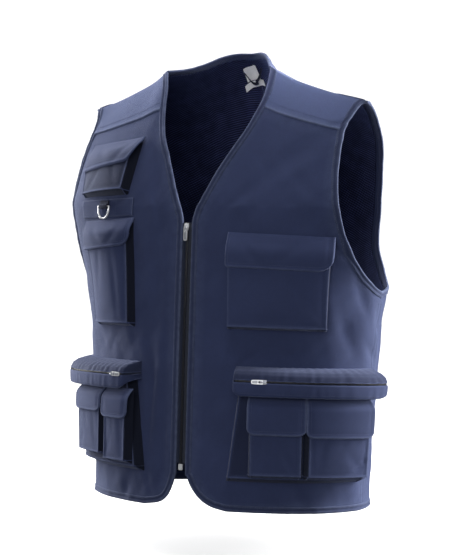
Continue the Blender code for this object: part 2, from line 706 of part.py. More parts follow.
def lid_strip(name, side, profile, thick, made_of):
    _, near, far = LIDS[0] if side > 0 else LIDS[1]
    edge = LID_FOLD * side
    turns = np.concatenate([[near], np.linspace(near + edge, far - edge, LID_COLUMNS - 1), [far]])
    levels = np.array([row[0] for row in profile])
    heights = np.array([row[1] for row in profile])
    turn, level = np.meshgrid(turns, levels)
    outer_rise = np.repeat(heights[:, None], len(turns), 1)
    inner_rise = outer_rise - thick
    first_row = profile[0][1] <= SEAT
    pull = thick / 0.0027 * side
    inner_turn = turn.copy()
    inner_turn[:, 0] += pull
    inner_turn[:, 1] += pull * 0.6
    inner_turn[:, -1] -= pull
    inner_turn[:, -2] -= pull * 0.6
    outer_rise[:, 0] = SEAT
    outer_rise[:, -1] = SEAT
    inner_rise[:, 0] = SEAT
    inner_rise[:, -1] = SEAT
    inner_level = level.copy()
    if first_row:
        inner_rise[0] = SEAT
        inner_level[0] -= thick
        inner_level[1] -= thick * 0.5
    outer = lifted(turn, level, outer_rise)
    inner = lifted(inner_turn, inner_level, inner_rise)
    verts, faces = slab_mesh(outer, inner)
    return add_piece(name, verts, faces, made_of)


def box_at(name, centre, size, axes, made_of):
    """Box with its own three axes."""
    verts = []
    for i in (-0.5, 0.5):
        for j in (-0.5, 0.5):
            for k in (-0.5, 0.5):
                verts.append(centre + axes[0] * size[0] * i + axes[1] * size[1] * j + axes[2] * size[2] * k)
    faces = [(0, 1, 3, 2), (4, 6, 7, 5), (0, 4, 5, 1), (2, 3, 7, 6), (0, 2, 6, 4), (1, 5, 7, 3)]
    return add_piece(name, np.array(verts), faces, made_of, smooth=False)


def frame_at(turn, level):
    """Axes on the cloth: across towards larger turn, up along the cloth, and out."""
    by_turn, by_level = slopes(np.array(turn, float), np.array(level, float))
    out = normal(turn, level)
    up = by_level - out * (by_level @ out)
    up = up / np.linalg.norm(up)
    across = np.cross(up, out)
    return across, up, out


END_BOX = (0.0060, 0.0085, 0.0028)     # zip's end box: width, height, depth


def zip_strips(tape_cloth, metal):
    """Tapes and rows of teeth beside the middle line, with the end box and the slider."""
    levels = np.linspace(ZIP_END, ZIP_TOP, 14)
    for side, word in ((1, "left"), (-1, "right")):
        turns_out = 2.75 * side
        turns_in = 0.93 * side
        s = np.array([turns_in, turns_out])
        turn, level = np.meshgrid(s, levels)
        grid = np.stack([turn, level], -1)
        sheet("zip_tape_" + word, grid, -0.0006, -0.0014, tape_cloth)
        turn, level = np.meshgrid(np.array([0.06, 0.45, 0.84]) * side, levels)
        high = np.array([0.0002, 0.0008, -0.0002])[None, :] * np.ones(turn.shape)
        outer = lifted(turn, level, high)
        inner = lifted(turn, level, -0.0016 - 0.2 * high)
        verts, faces = slab_mesh(outer, inner)
        add_piece("zip_teeth_" + word, verts, faces, tape_cloth)
    end = ZIP_END - END_BOX[1] / 2 - 2.5 * GAP
    across, up, out = frame_at(0.0, end)
    spot = body(0.0, end)
    box_at("zip_end_box", spot - out * 0.0004, END_BOX, (across, up, out), metal)
    # the main slider and its hanging pull
    across, up, out = frame_at(0.0, SLIDER_LEVEL)
    spot = body(0.0, SLIDER_LEVEL) + out * (MAIN_SLIDER_ROOM + SLIDER_THICK / 2)
    slider_and_pull("zip", spot, (across, up, out), MAIN_SLIDER, metal)


def ring_plate(outer, inner, thick):
    """Plate with one opening; its outline and its opening have the same number of points."""
    count = len(outer)
    verts = []
    for height in (thick / 2, -thick / 2):
        verts += [(p[0], p[1], height) for p in outer]
        verts += [(p[0], p[1], height) for p in inner]
    faces = []
    top_out, top_in, low_out, low_in = 0, count, 2 * count, 3 * count
    for i in range(count):
        j = (i + 1) % count
        faces.append((top_out + i, top_out + j, top_in + j, top_in + i))
        faces.append((low_out + j, low_out + i, low_in + i, low_in + j))
        faces.append((top_out + j, top_out + i, low_out + i, low_out + j))
        faces.append((top_in + i, top_in + j, low_in + j, low_in + i))
    return np.array(verts), faces


def placed(points, centre, axes):
    points = np.asarray(points, float)
    return centre + points[:, :1] * axes[0] + points[:, 1:2] * axes[1] + points[:, 2:3] * axes[2]


# Sliders: width, length, length of the pull
MAIN_SLIDER = (0.0070, 0.0110, 0.0180)
LID_SLIDER = (0.0060, 0.0090, 0.0150)
SLIDER_THICK = 0.0020
MAIN_SLIDER_ROOM = 0.0016      # from the cloth's outer face to the slider's back
ARCH_WIDTH = 0.0016
ARCH_HIGH = 0.0036
PULL_THICK = 0.0010


def slider_and_pull(prefix, spot, axes, sizes, metal):
    """Zip slider with an arch, and a pull whose top bar runs through the arch."""
    across, up, out = axes
    width, length, pull_length = sizes
    block = [
        (-0.36, -0.5), (0.36, -0.5), (0.5, 0.1), (0.42, 0.5), (0.0, 0.42), (-0.42, 0.5), (-0.5, 0.1),
    ]
    verts = []
    for height in (-SLIDER_THICK / 2, SLIDER_THICK / 2):
        verts += [(x * width, y * length, height) for x, y in block]
    size = len(block)
    faces = [tuple(reversed(range(size))), tuple(range(size, 2 * size))]
    for i in range(size):
        j = (i + 1) % size
        faces.append((i, j, size + j, size + i))
    slider = add_piece(prefix + "_slider", placed(verts, spot, axes), faces, metal, smooth=False)
    # arch over the slider, as a plate with an opening, standing along the zip
    outer = [(-0.0038, -0.0006), (0.0038, -0.0006), (0.0034, ARCH_HIGH - 0.0010), (0.0024, ARCH_HIGH)]
    outer += [(-0.0024, ARCH_HIGH), (-0.0034, ARCH_HIGH - 0.0010)]
    inner = [(-0.0026, 0.0004), (0.0026, 0.0004), (0.0024, ARCH_HIGH - 0.0015), (0.0016, ARCH_HIGH - 0.0010)]
    inner += [(-0.0016, ARCH_HIGH - 0.0010), (-0.0024, ARCH_HIGH - 0.0015)]
    shape, arch_faces = ring_plate(outer, inner, ARCH_WIDTH)
    foot = spot + out * (SLIDER_THICK / 2)
    arch = add_piece(prefix + "_arch", placed(shape, foot, (up, out, across)), arch_faces, metal, smooth=False)
    arch.hide_render = True
    arch.display_type = "WIRE"
    join = slider.modifiers.new("arch", "BOOLEAN")
    join.operation = "UNION"
    join.solver = "EXACT"
    join.object = arch
    # the pull hangs from the arch and lies over the zip
    pin = foot - up * 0.0010 + out * 0.0015
    half = 0.0030
    window = 0.0016
    outline = [(-half, 0.0006), (half, 0.0006), (half, -0.0050), (0.0026, -pull_length)]
    outline += [(-0.0026, -pull_length), (-half, -0.0050)]
    hole = [(-window, -0.0006), (window, -0.0006), (window, -0.0042), (0.0012, -0.0052)]
    hole += [(-0.0012, -0.0052), (-window, -0.0042)]
    shape, pull_faces = ring_plate(outline, hole, PULL_THICK)
    pull = add_piece(prefix + "_pull", placed(shape, pin, axes), pull_faces, metal, smooth=False)
    set_origin(pull, pin)
    return pin


def set_origin(piece, spot):
    """Put a moving piece's origin on its joint axis."""
    spot = Vector([float(n) for n in spot])
    for vert in piece.data.vertices:
        vert.co -= spot
    piece.location = spot


def tube(path, radius, section, closed, plane):
    """Round bar along a flat path."""
    path = np.asarray(path, float)
    count = len(path)
    rings = []
    for i in range(count):
        if closed:
            along = path[(i + 1) % count] - path[i - 1]
        else:
            along = path[min(i + 1, count - 1)] - path[max(i - 1, 0)]
        along = along / np.linalg.norm(along)
        aside = np.cross(plane, along)
        aside /= np.linalg.norm(aside)
        ring = []
        for k in range(section):
            a = 2 * math.pi * k / section
            ring.append(path[i] + radius * (math.cos(a) * aside + math.sin(a) * plane))
        rings.append(np.array(ring))
    return loop_mesh(rings, closed)


RING_TURN = -50.0
RING_LEVEL = -0.1990
RING_HALF = 0.0112
RING_DROP = 0.0170
RING_WIRE = 0.0013
# Tape that carries the ring: turn, then its top and lower edge over the ring's level, at the zip
# side and at the far side
RING_TAPE = ((-35.2, 0.0190, -0.0140), (-63.0, 0.0175, -0.0170))


def ring_tape(cloth):
    """Flat cloth tape across the chest that carries the D-ring."""
    (near, near_top, near_low), (far, far_top, far_low) = RING_TAPE
    s, t = np.meshgrid(np.linspace(0, 1, 9), np.linspace(0, 1, 4))
    turn = near + (far - near) * s
    top = RING_LEVEL + near_top + (far_top - near_top) * s
    low = RING_LEVEL + near_low + (far_low - near_low) * s
    grid = np.stack([turn, top + (low - top) * t], -1)
    sheet("ring_tape", grid, SEAT + 0.0016, SEAT, cloth)


def ring_loop(cloth):
    """Webbing loop on the tape; the straight bar of the ring lies in its bend."""
    across, up, out = frame_at(RING_TURN, RING_LEVEL)
    spot = body(RING_TURN, RING_LEVEL) + out * (SEAT + 0.0016 + GAP)
    half = 0.0085
    outer = [
        (0.0085, 0.0), (0.0020, 0.0), (-0.0020, 0.0), (-0.0036, 0.0012), (-0.0036, 0.0034),
        (-0.0020, 0.0050), (0.0016, 0.0050), (0.0040, 0.0026), (0.0085, 0.0016),
    ]
    inner = [
        (0.0030, 0.0012), (0.0016, 0.0011), (-0.0014, 0.0011), (-0.0024, 0.0018), (-0.0024, 0.0030),
        (-0.0014, 0.0039), (0.0010, 0.0039), (0.0026, 0.0022), (0.0031, 0.0016),
    ]
    shape, faces = ring_plate(outer, inner, 2 * half)
    add_piece("ring_loop", placed(shape, spot, (up, out, across)), faces, cloth)
    return spot + out * 0.0025


def d_ring(centre, metal):
    across, up, out = frame_at(RING_TURN, RING_LEVEL)
    path = [centre + across * x for x in (-RING_HALF, -RING_HALF / 3, RING_HALF / 3, RING_HALF)]
    for k in range(1, 10):
        a = math.pi * k / 10
        drop = -math.sin(a) * RING_DROP
        path.append(centre + across * RING_HALF * math.cos(a) + up * drop)
    verts, faces = tube(path, RING_WIRE, 8, True, out)
    ring = add_piece("d_ring", verts, faces, metal)
    set_origin(ring, centre)


def labels(white, cloth):
    """Blank neck labels and the hanging loop inside the back of the neck."""
    low = -CLOTH - LINING_GAP - LINING - LABEL_GAP
    for name, turn_from, turn_to, top, bottom, extra in LABELS:
        s, t = np.meshgrid(np.linspace(turn_from, turn_to, 4), np.linspace(top, bottom, 3))
        grid = np.stack([s, t], -1)
        sheet(name, grid, low - extra, low - extra - 0.0006, white)
    # loop: a band that stands in from the lining between its two fixed ends
    rings = []
    count = 9
    for k in range(count):
        u = k / (count - 1)
        turn = LOOP_TURNS[0] + (LOOP_TURNS[1] - LOOP_TURNS[0]) * u
        level = LOOP_LEVEL - LOOP_SAG * math.sin(math.pi * u)
        away = low - LOOP_ROOM - LOOP_REACH * math.sin(math.pi * u)
        spot = lifted(turn, level, np.asarray(away))
        _, up, out = frame_at(turn, level)
        ring = [
            spot + up * 0.0030 + out * 0.0005, spot - up * 0.0030 + out * 0.0005,
            spot - up * 0.0030 - out * 0.0005, spot + up * 0.0030 - out * 0.0005,
        ]
        rings.append(np.array(ring))
    verts, faces = loop_mesh(rings, False)
    add_piece("hanging_loop", verts, faces, cloth)


def small_pockets(cloth):
    for name, lower, near, far, top, low, flap_low in SMALL_POCKETS:
        under = bag_front(POCKETS[lower])
        row = (name, near, near, far, far, top, low, SMALL_DEPTH, 0.0, SEAT, 0.016)
        start = top + 0.004
        tray(name, row, (start, start), 7, 5, cloth, under=under)
        lean = 0.4 if far > 0 else -0.4
        flap_row = (
            name.replace("pocket", "flap"), lower, near - lean, far + lean,
            start, flap_low, start, flap_low, 0.0110, 0.0110,
        )
        flap(flap_row[0], row, flap_row, 8, 4, cloth, under=under)


def lower_pockets(cloth, zip_cloth, metal):
    for side, word in ((1, "left"), (-1, "right")):
        pocket = POCKETS[3] if side > 0 else POCKETS[4]
        tray(pocket[0], pocket, BAG_TOP, 12, 5, cloth)
        lid_strip("lid_" + word, side, LID_UPPER, 0.0014, cloth)
        lid_strip("lid_zip_" + word, side, LID_ZIP, 0.0012, zip_cloth)
        lid_strip("lid_band_" + word, side, LID_BAND, 0.0014, cloth)
        turn = LID_SLIDER_TURNS[0] if side > 0 else LID_SLIDER_TURNS[1]
        across, up, out = frame_at(turn, LID_ZIP_LEVEL)
        strip = np.interp(-LID_ZIP_LEVEL, [-row[0] for row in LID_ZIP], [row[1] for row in LID_ZIP])
        spot = body(turn, LID_ZIP_LEVEL) + out * (strip + LID_SLIDER_ROOM + SLIDER_THICK / 2)
        # the slider lies along the zip, so its own length runs across
        axes = (-up, across, out) if side > 0 else (up, -across, out)
        slider_and_pull("lid_zip_" + word, spot, axes, LID_SLIDER, metal)


def main():
    clear_scene()
    cloth = material("navy_cloth", NAVY, 0.9)
    light = material("light_navy_cloth", NAVY_LIGHT, 0.9)
    edge = material("binding_cloth", NAVY_DARK, 0.85)
    mesh_cloth = material("mesh_lining", MESH_DARK, 0.95)
    zip_cloth = material("black_zip", BLACK, 0.6)
    metal = material("steel", STEEL, 0.3, 1.0)
    white = material("white_label", WHITE, 0.8)
    outlines = {1: Outline(1), -1: Outline(-1)}
    back = BackOutline()
    front_panels(outlines, cloth, light)
    back_panels(back, cloth, mesh_cloth)
    bindings(outlines, back, edge)
    zip_strips(zip_cloth, metal)
    columns = {0: (8, 6), 1: (6, 4), 2: (6, 7)}
    for index, row in enumerate(FLAPS):
        pocket = POCKETS[index]
        start = (row[4], row[6])
        tray(pocket[0], pocket, start, columns[index][0], columns[index][1], cloth)
        flap(row[0], pocket, row, 8, 4, cloth)
    lower_pockets(cloth, zip_cloth, metal)
    small_pockets(cloth)
    ring_tape(cloth)
    centre = ring_loop(edge)
    d_ring(centre, metal)
    labels(white, edge)


main()
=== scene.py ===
"""Looks of the utility work vest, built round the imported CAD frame.

A place on the cloth is a pair (turn, level), as in the CAD source: turn is the angle round the
trunk in degrees, 0 at the zip and 90 at the left side seam, and level is the height up to the
chest and the way over the shoulder above it. Each cloth piece is a fine shell over such pairs.
"""
import math

import bmesh
import bpy
import numpy as np
from mathutils import Matrix, Vector


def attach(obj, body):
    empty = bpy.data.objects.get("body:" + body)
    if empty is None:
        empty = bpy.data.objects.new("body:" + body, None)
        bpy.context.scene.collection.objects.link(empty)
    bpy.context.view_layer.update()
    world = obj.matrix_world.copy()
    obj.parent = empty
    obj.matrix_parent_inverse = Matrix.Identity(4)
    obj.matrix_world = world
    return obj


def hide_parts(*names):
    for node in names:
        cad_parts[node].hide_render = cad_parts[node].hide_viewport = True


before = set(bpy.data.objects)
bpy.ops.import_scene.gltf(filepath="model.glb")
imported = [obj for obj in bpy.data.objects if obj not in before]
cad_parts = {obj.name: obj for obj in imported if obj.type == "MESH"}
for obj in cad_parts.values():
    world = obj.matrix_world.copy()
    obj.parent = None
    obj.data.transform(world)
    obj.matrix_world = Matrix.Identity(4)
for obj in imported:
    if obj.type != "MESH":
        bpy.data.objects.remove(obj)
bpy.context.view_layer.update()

# Sizes shared with the CAD source
CLOTH = 0.0016
BINDING_WIDTH = 0.0095
SEAT = 0.0006
HALF_CHEST = 0.257
BODY_Y = 0.063
CHEST = -0.200
ROUND_FRONT = 1.35
ROUND_BACK = 2.40
HEM_LEVEL = -0.614
ZIP_TOP = -0.2225
ZIP_END = -0.5530

# Level, share of the half chest, front depth, back depth, squareness
SECTIONS = (
    (-0.640, 0.80934, 0.141, 0.195, 1.95),
    (-0.520, 0.83074, 0.140, 0.178, 1.95),
    (-0.400, 0.86965, 0.140, 0.151, 1.95),
    (-0.300, 0.91245, 0.139, 0.135, 2.10),
    (-0.200, 1.00000, 0.137, 0.134, 2.35),
    (-0.100, 0.98054, 0.130, 0.130, 2.40),
    (0.000, 0.97276, 0.125, 0.120, 2.30),
)
# Distance from the middle as a share of the half chest, height, distance behind the neck points
RIDGE = (
    (0.00000, 0.0600, 0.000),
    (0.08000, 0.0530, 0.000),
    (0.15000, 0.0360, 0.000),
    (0.20000, 0.0200, 0.000),
    (0.26000, 0.0050, 0.000),
    (0.32296, -0.0030, 0.000),
    (0.40856, -0.0150, 0.006),
    (0.55642, -0.0295, 0.014),
    (0.70039, -0.0410, 0.022),
    (0.86381, -0.0525, 0.029),
    (0.99222, -0.0700, 0.034),
)
# Turn, level, half width in degrees, half length, slant in degrees per metre, depth
FOLDS = (
    (-20.0, -0.330, 5.0, 0.110, 20.0, 0.0022),
    (14.0, -0.440, 5.5, 0.100, -15.0, 0.0018),
    (77.0, -0.345, 6.0, 0.050, 60.0, 0.0030),
    (-80.0, -0.345, 7.0, 0.050, -60.0, 0.0030),
    (112.0, -0.500, 8.0, 0.120, 0.0, 0.0040),
    (142.0, -0.440, 9.0, 0.150, 10.0, 0.0035),
    (180.0, -0.460, 10.0, 0.140, 0.0, 0.0030),
    (-142.0, -0.440, 9.0, 0.150, -10.0, 0.0035),
    (-112.0, -0.500, 8.0, 0.120, 0.0, 0.0040),
)
# Finer creases, the same way; a minus depth stands out
CREASES = (
    (68.5, -0.256, 1.3, 0.013, -300.0, 0.0034),
    (71.0, -0.252, 1.6, 0.016, -300.0, -0.0018),
    (81.0, -0.322, 2.6, 0.030, -160.0, 0.0030),
    (86.0, -0.345, 2.4, 0.034, -150.0, -0.0022),
    (91.0, -0.364, 2.4, 0.026, -150.0, 0.0026),
    (76.0, -0.372, 3.0, 0.030, -120.0, 0.0018),
    (88.0, -0.396, 2.4, 0.014, -200.0, 0.0022),
    (28.5, -0.396, 1.8, 0.014, 180.0, 0.0016),
    (33.0, -0.402, 1.6, 0.010, 260.0, -0.0010),
    (36.5, -0.404, 1.8, 0.010, 300.0, 0.0014),
    (46.0, -0.140, 5.0, 0.060, 360.0, 0.0022),
    (52.0, -0.138, 5.0, 0.050, 360.0, -0.0014),
    (64.0, -0.078, 1.4, 0.009, 400.0, 0.0022),
    (61.5, -0.074, 1.3, 0.009, 400.0, -0.0012),
    (12.5, -0.328, 2.6, 0.080, 6.0, 0.0016),
    (-11.0, -0.510, 1.8, 0.060, 10.0, 0.0018),
    (-22.0, -0.475, 2.0, 0.060, 20.0, 0.0022),
    (-27.0, -0.500, 1.8, 0.050, 20.0, -0.0012),
    (-39.0, -0.598, 2.4, 0.014, 60.0, 0.0018),
    (-24.0, -0.162, 3.0, 0.050, -80.0, 0.0016),
    (55.0, -0.160, 4.0, 0.030, -260.0, 0.0016),
    (42.0, -0.150, 4.5, 0.034, -220.0, 0.0014),
    (30.0, -0.190, 5.0, 0.040, -160.0, -0.0012),
    (60.0, -0.095, 2.2, 0.012, 500.0, 0.0016),
    (63.0, -0.102, 1.8, 0.012, 420.0, -0.0010),
    (40.0, -0.398, 3.0, 0.012, 250.0, 0.0010),
    (52.0, -0.396, 3.2, 0.012, -200.0, 0.0010),
    (64.0, -0.398, 2.6, 0.012, 260.0, 0.0011),
    (13.0, -0.290, 3.0, 0.070, 20.0, -0.0012),
    (10.0, -0.500, 2.6, 0.050, -40.0, 0.0012),
    (-12.0, -0.420, 2.2, 0.090, 10.0, 0.0013),
    (-17.0, -0.470, 2.0, 0.070, 16.0, -0.0012),
    (-25.0, -0.200, 3.0, 0.060, -60.0, -0.0014),
    (-20.0, -0.150, 3.5, 0.040, 120.0, 0.0014),
    (-24.0, -0.395, 2.5, 0.020, -120.0, 0.0012),
    (-50.0, -0.395, 2.5, 0.014, 180.0, 0.0010),
    (-58.0, -0.392, 2.5, 0.014, -160.0, 0.0010),
    (-36.0, -0.588, 3.0, 0.014, 60.0, 0.0013),
    (-22.0, -0.582, 2.6, 0.018, -60.0, 0.0012),
    (36.0, -0.592, 3.4, 0.012, 90.0, 0.0010),
    (60.0, -0.590, 3.8, 0.012, -60.0, 0.0012),
    (100.0, -0.350, 3.0, 0.060, 60.0, 0.0022),
    (104.0, -0.420, 2.6, 0.080, 20.0, -0.0014),
    (-100.0, -0.350, 3.0, 0.060, -60.0, 0.0022),
    (-104.0, -0.430, 2.6, 0.080, -20.0, -0.0014),
    (160.0, -0.300, 3.0, 0.100, 30.0, 0.0018),
    (-162.0, -0.320, 3.0, 0.100, -20.0, 0.0018),
    (178.0, -0.200, 6.0, 0.030, 0.0, 0.0014),
    (130.0, -0.150, 3.0, 0.050, -160.0, 0.0016),
    (-130.0, -0.150, 3.0, 0.050, 160.0, 0.0016),
    (150.0, -0.560, 2.6, 0.050, 0.0, 0.0018),
    (-150.0, -0.560, 2.6, 0.050, 0.0, 0.0018),
)
# Soft undulation of all the cloth: waves a metre round and up, phase, height
WAVES = (
    (31.0, 9.0, 0.4, 0.00030), (12.0, 27.0, 1.9, 0.00034), (-23.0, 21.0, 2.7, 0.00026),
    (55.0, 14.0, 5.1, 0.00016), (-47.0, 33.0, 0.9, 0.00015), (18.0, -58.0, 3.3, 0.00014),
    (88.0, 41.0, 1.1, 0.00008), (-71.0, 79.0, 4.4, 0.00008),
)
# Front edge, neck to zip, then zip to hem: level, left turn, right turn
NECK_EDGE = (
    (0.000, 34.5, -34.5), (-0.030, 35.0, -32.2), (-0.060, 34.8, -29.4), (-0.080, 33.6, -28.0),
    (-0.107, 29.0, -25.0), (-0.133, 22.2, -19.8), (-0.158, 14.9, -13.2), (-0.187, 7.4, -7.0),
    (-0.213, 3.6, -3.4), (-0.224, 2.9, -2.9),
)
ZIP_EDGE = (
    (-0.224, 2.9, -2.9), (-0.390, 2.9, -2.9), (ZIP_END, 2.9, -2.9), (-0.570, 4.2, -3.4),
    (-0.586, 7.2, -5.2), (-0.600, 12.5, -8.6), (-0.609, 19.0, -14.0), (-0.614, 27.0, -24.0),
)
ARM_FRONT = (
    (0.000, 73.2, -73.2), (-0.030, 70.0, -70.5), (-0.063, 67.4, -69.0), (-0.095, 65.4, -70.5),
    (-0.125, 64.9, -72.5), (-0.163, 65.2, -74.0), (-0.209, 66.6, -74.2), (-0.248, 70.4, -75.0),
    (-0.281, 77.0, -79.5), (-0.303, 85.0, -85.5), (-0.310, 90.0, -90.0),
)
ARM_BACK = (
    (0.000, 106.2), (-0.030, 110.0), (-0.060, 112.0), (-0.098, 114.0), (-0.130, 116.0),
    (-0.170, 118.3), (-0.205, 119.3), (-0.240, 117.5), (-0.270, 112.5), (-0.296, 103.0),
    (-0.310, 90.0),
)
NECK_BACK = ((0.000, 145.3), (-0.020, 153.0), (-0.040, 161.5), (-0.056, 171.0), (-0.063, 180.0))


# Surface of the trunk

def through(rows, at, column):
    """Smooth curve through one column of a table, against its first column."""
    table = np.array(rows, float)
    order = np.argsort(table[:, 0], kind="stable")
    keys = table[order, 0]
    values = table[order, column]
    slopes = np.gradient(values, keys)
    at = np.clip(np.asarray(at, float), keys[0], keys[-1])
    low = np.clip(np.searchsorted(keys, at, side="right") - 1, 0, len(keys) - 2)
    span = keys[low + 1] - keys[low]
    u = (at - keys[low]) / span
    start = (2 * u**3 - 3 * u**2 + 1) * values[low] + (u**3 - 2 * u**2 + u) * span * slopes[low]
    end = (3 * u**2 - 2 * u**3) * values[low + 1] + (u**3 - u**2) * span * slopes[low + 1]
    return start + end


def gauss_rows(rows, turn, level):
    total = np.zeros(np.broadcast(turn, level).shape)
    for middle, height, across, length, slant, depth in rows:
        away = (turn - middle - slant * (level - height) + 180.0) % 360.0 - 180.0
        total = total + depth * np.exp(-((away / across) ** 2) - ((level - height) / length) ** 2)
    return total


def undulate(turn, level):
    """Small waves of the cloth, fading out at the zip and the shoulder ridge."""
    half_turn = (turn + 180.0) % 360.0 - 180.0
    round_way = np.radians(half_turn) * 0.21
    total = np.zeros(np.broadcast(turn, level).shape)
    for across, up, phase, height in WAVES:
        total = total + height * np.sin(math.pi * (across * round_way + up * level) + phase)
    near_zip = np.clip((np.abs(half_turn) - 3.0) / 6.0, 0.0, 1.0)
    return total * near_zip * np.clip(-level / 0.03, 0.0, 1.0)


def body(turn, level, bare=False):
    """Point on the outer face of the cloth; bare leaves out what the CAD source hasn't."""
    turn = np.asarray(turn, float)
    level = np.asarray(level, float)
    angle = np.radians(turn)
    sine, cosine = np.sin(angle), np.cos(angle)
    front = cosine > 0
    half = HALF_CHEST * through(SECTIONS, level, 1)
    depth = np.where(front, through(SECTIONS, level, 2), through(SECTIONS, level, 3))
    square = through(SECTIONS, level, 4)
    reach = (np.abs(sine / half) ** square + np.abs(cosine / depth) ** square) ** (-1 / square)
    reach = reach - gauss_rows(FOLDS, turn, level)
    if not bare:
        reach = reach - gauss_rows(CREASES, turn, level) + undulate(turn, level)
    x = reach * sine
    y = BODY_Y - reach * cosine
    climb = np.clip(1 - level / CHEST, 0.0, 1.0) * math.pi / 2
    roundness = np.where(front, ROUND_FRONT, ROUND_BACK)
    rise = np.sin(climb) ** (2 / roundness)
    keep = np.clip(np.cos(climb), 0.0, 1.0) ** (2 / roundness)
    top = through(RIDGE, np.abs(x) / HALF_CHEST, 1)
    behind = through(RIDGE, np.abs(x) / HALF_CHEST, 2)
    z = np.where(level <= CHEST, level, CHEST + (top - CHEST) * rise)
    y = np.where(level <= CHEST, y, behind + (y - behind) * keep)
    return np.stack(np.broadcast_arrays(x, y, z), -1)


def slopes(turn, level, bare=False):
    """How the point moves for one degree of turn and one metre of level."""
    high = np.minimum(level + 0.0002, 0.0)
    low = level - 0.0002
    by_turn = (body(turn + 0.02, level, bare) - body(turn - 0.02, level, bare)) / 0.04
    by_level = (body(turn, high, bare) - body(turn, low, bare)) / (high - low)[..., None]
    return by_turn, by_level


def normal(turn, level, bare=False):
    turn, level = np.broadcast_arrays(np.asarray(turn, float), np.asarray(level, float))
    by_turn, by_level = slopes(turn, level, bare)
    out = np.cross(by_turn, by_level)
    flat = np.cross(by_turn, np.array([0.0, 1.0, 0.0]))
    flat = flat * np.sign(flat[..., 2:])
    out = np.where((level > -1e-6)[..., None], flat, out)
    return out / np.maximum(np.linalg.norm(out, axis=-1, keepdims=True), 1e-12)


def lifted(turn, level, height, bare=False):
    return body(turn, level, bare) + normal(turn, level, bare) * np.asarray(height)[..., None]


def frame_at(turn, level, bare=True):
    """Axes on the cloth: across towards larger turn, up along the cloth, and out."""
    _, by_level = slopes(np.array(turn, float), np.array(level, float), bare)
    out = normal(turn, level, bare)
    up = by_level - out * (by_level @ out)
    up = up / np.linalg.norm(up)
    return np.cross(up, out), up, out


def spaced(rows, column, count, start=0.0, stop=1.0):
    """Evenly spaced (turn, level) pairs along a table's edge, between two shares of its length."""
    table = np.array([(row[column], row[0]) for row in rows], float)
    keys = np.linspace(0, 1, len(table))
    fine = np.linspace(0, 1, 400)
    turns = through([(k, v) for k, v in zip(keys, table[:, 0])], fine, 1)
    levels = through([(k, v) for k, v in zip(keys, table[:, 1])], fine, 1)
    points = body(turns, np.minimum(levels, 0.0), True)
    run = np.concatenate([[0], np.cumsum(np.linalg.norm(np.diff(points, axis=0), axis=1))])
    wanted = np.linspace(start, stop, count + 1) * run[-1]
    out = np.stack([np.interp(wanted, run, turns), np.interp(wanted, run, levels)], -1)
    out[:, 1] = np.minimum(out[:, 1], 0.0)
    return out


def share_at(rows, column, level):
    steps = spaced(rows, column, 300)
    return float(np.interp(-level, -steps[:, 1], np.linspace(0, 1, len(steps))))


def inset(edge, distance, keep_level=(), keep_turn=()):
    """Move an edge sideways over the cloth, to the left of its own direction."""
    turn, level = edge[:, 0], edge[:, 1]
    points = body(turn, level, True)
    along = np.gradient(points, axis=0)
    along /= np.linalg.norm(along, axis=1, keepdims=True)
    out = normal(turn, level, True)
    aside = np.cross(out, along)
    aside /= np.linalg.norm(aside, axis=1, keepdims=True)
    by_turn, by_level = slopes(turn, level, True)
    moved = edge.copy()
    for i in range(len(edge)):
        if i in keep_level or i - len(edge) in keep_level:
            moved[i, 0] += distance / (np.linalg.norm(by_turn[i]) * np.sign(by_turn[i] @ aside[i]))
        elif i in keep_turn or i - len(edge) in keep_turn:
            moved[i, 1] += distance / (by_level[i] @ aside[i])
        else:
            both = np.stack([by_turn[i], by_level[i]], 1)
            moved[i] += np.linalg.lstsq(both, aside[i] * distance, rcond=None)[0]
    if not keep_turn or len(keep_turn) < 3:
        shift = moved - edge
        for _ in range(6):
            shift[1:-1] = (shift[:-2] + 2 * shift[1:-1] + shift[2:]) / 4
        moved = edge + shift
    moved[:, 1] = np.minimum(moved[:, 1], 0.0)
    return moved


def patch(bottom, top, left, right):
    """Grid of pairs between four edges, rows from bottom to top."""
    s = np.linspace(0, 1, len(bottom))[None, :, None]
    t = np.linspace(0, 1, len(left))[:, None, None]
    across = (1 - t) * bottom[None] + t * top[None]
    upward = (1 - s) * left[:, None] + s * right[:, None]
    corners = (1 - s) * (1 - t) * bottom[0] + s * (1 - t) * bottom[-1]
    return across + upward - corners - (1 - s) * t * top[0] - s * t * top[-1]


def join_runs(runs):
    """One chain of pairs from several, dropping each repeated meeting point."""
    return np.concatenate([runs[0]] + [run[1:] for run in runs[1:]])


# Meshes

SHARP_ANGLE = 50.0
# Outward is away from the trunk's axis; the way up or down counts little
TRUNK_MIDDLE = np.array([0.0, BODY_Y, 0.0])
LEVEL_WEIGHT = 0.2


def unit(vectors):
    return vectors / np.maximum(np.linalg.norm(vectors, axis=-1, keepdims=True), 1e-12)


def pairs(turn, level):
    """Run of (turn, level) pairs, or of two shares, from two rows or a row and a number."""
    return np.stack(np.broadcast_arrays(turn, level), -1).astype(float)


def run_length(points):
    """Distance along a row of points, from the first one."""
    return np.concatenate([[0], np.cumsum(np.linalg.norm(np.diff(points, axis=0), axis=1))])


def outward(normals, points):
    """The normals, turned round together if they point into the trunk."""
    towards = points - TRUNK_MIDDLE
    towards[..., 2] *= LEVEL_WEIGHT
    return -normals if (normals * towards).sum() < 0 else normals


def metric_uv(points):
    """Distances along the rows and the columns, in metres."""
    u = np.zeros(points.shape[:2])
    v = np.zeros(points.shape[:2])
    u[:, 1:] = np.cumsum(np.linalg.norm(np.diff(points, axis=1), axis=2), axis=1)
    v[1:, :] = np.cumsum(np.linalg.norm(np.diff(points, axis=0), axis=2), axis=0)
    middle = points.shape[1] // 2
    return np.stack([u - u[:, middle:middle + 1], v], -1).reshape(-1, 2)


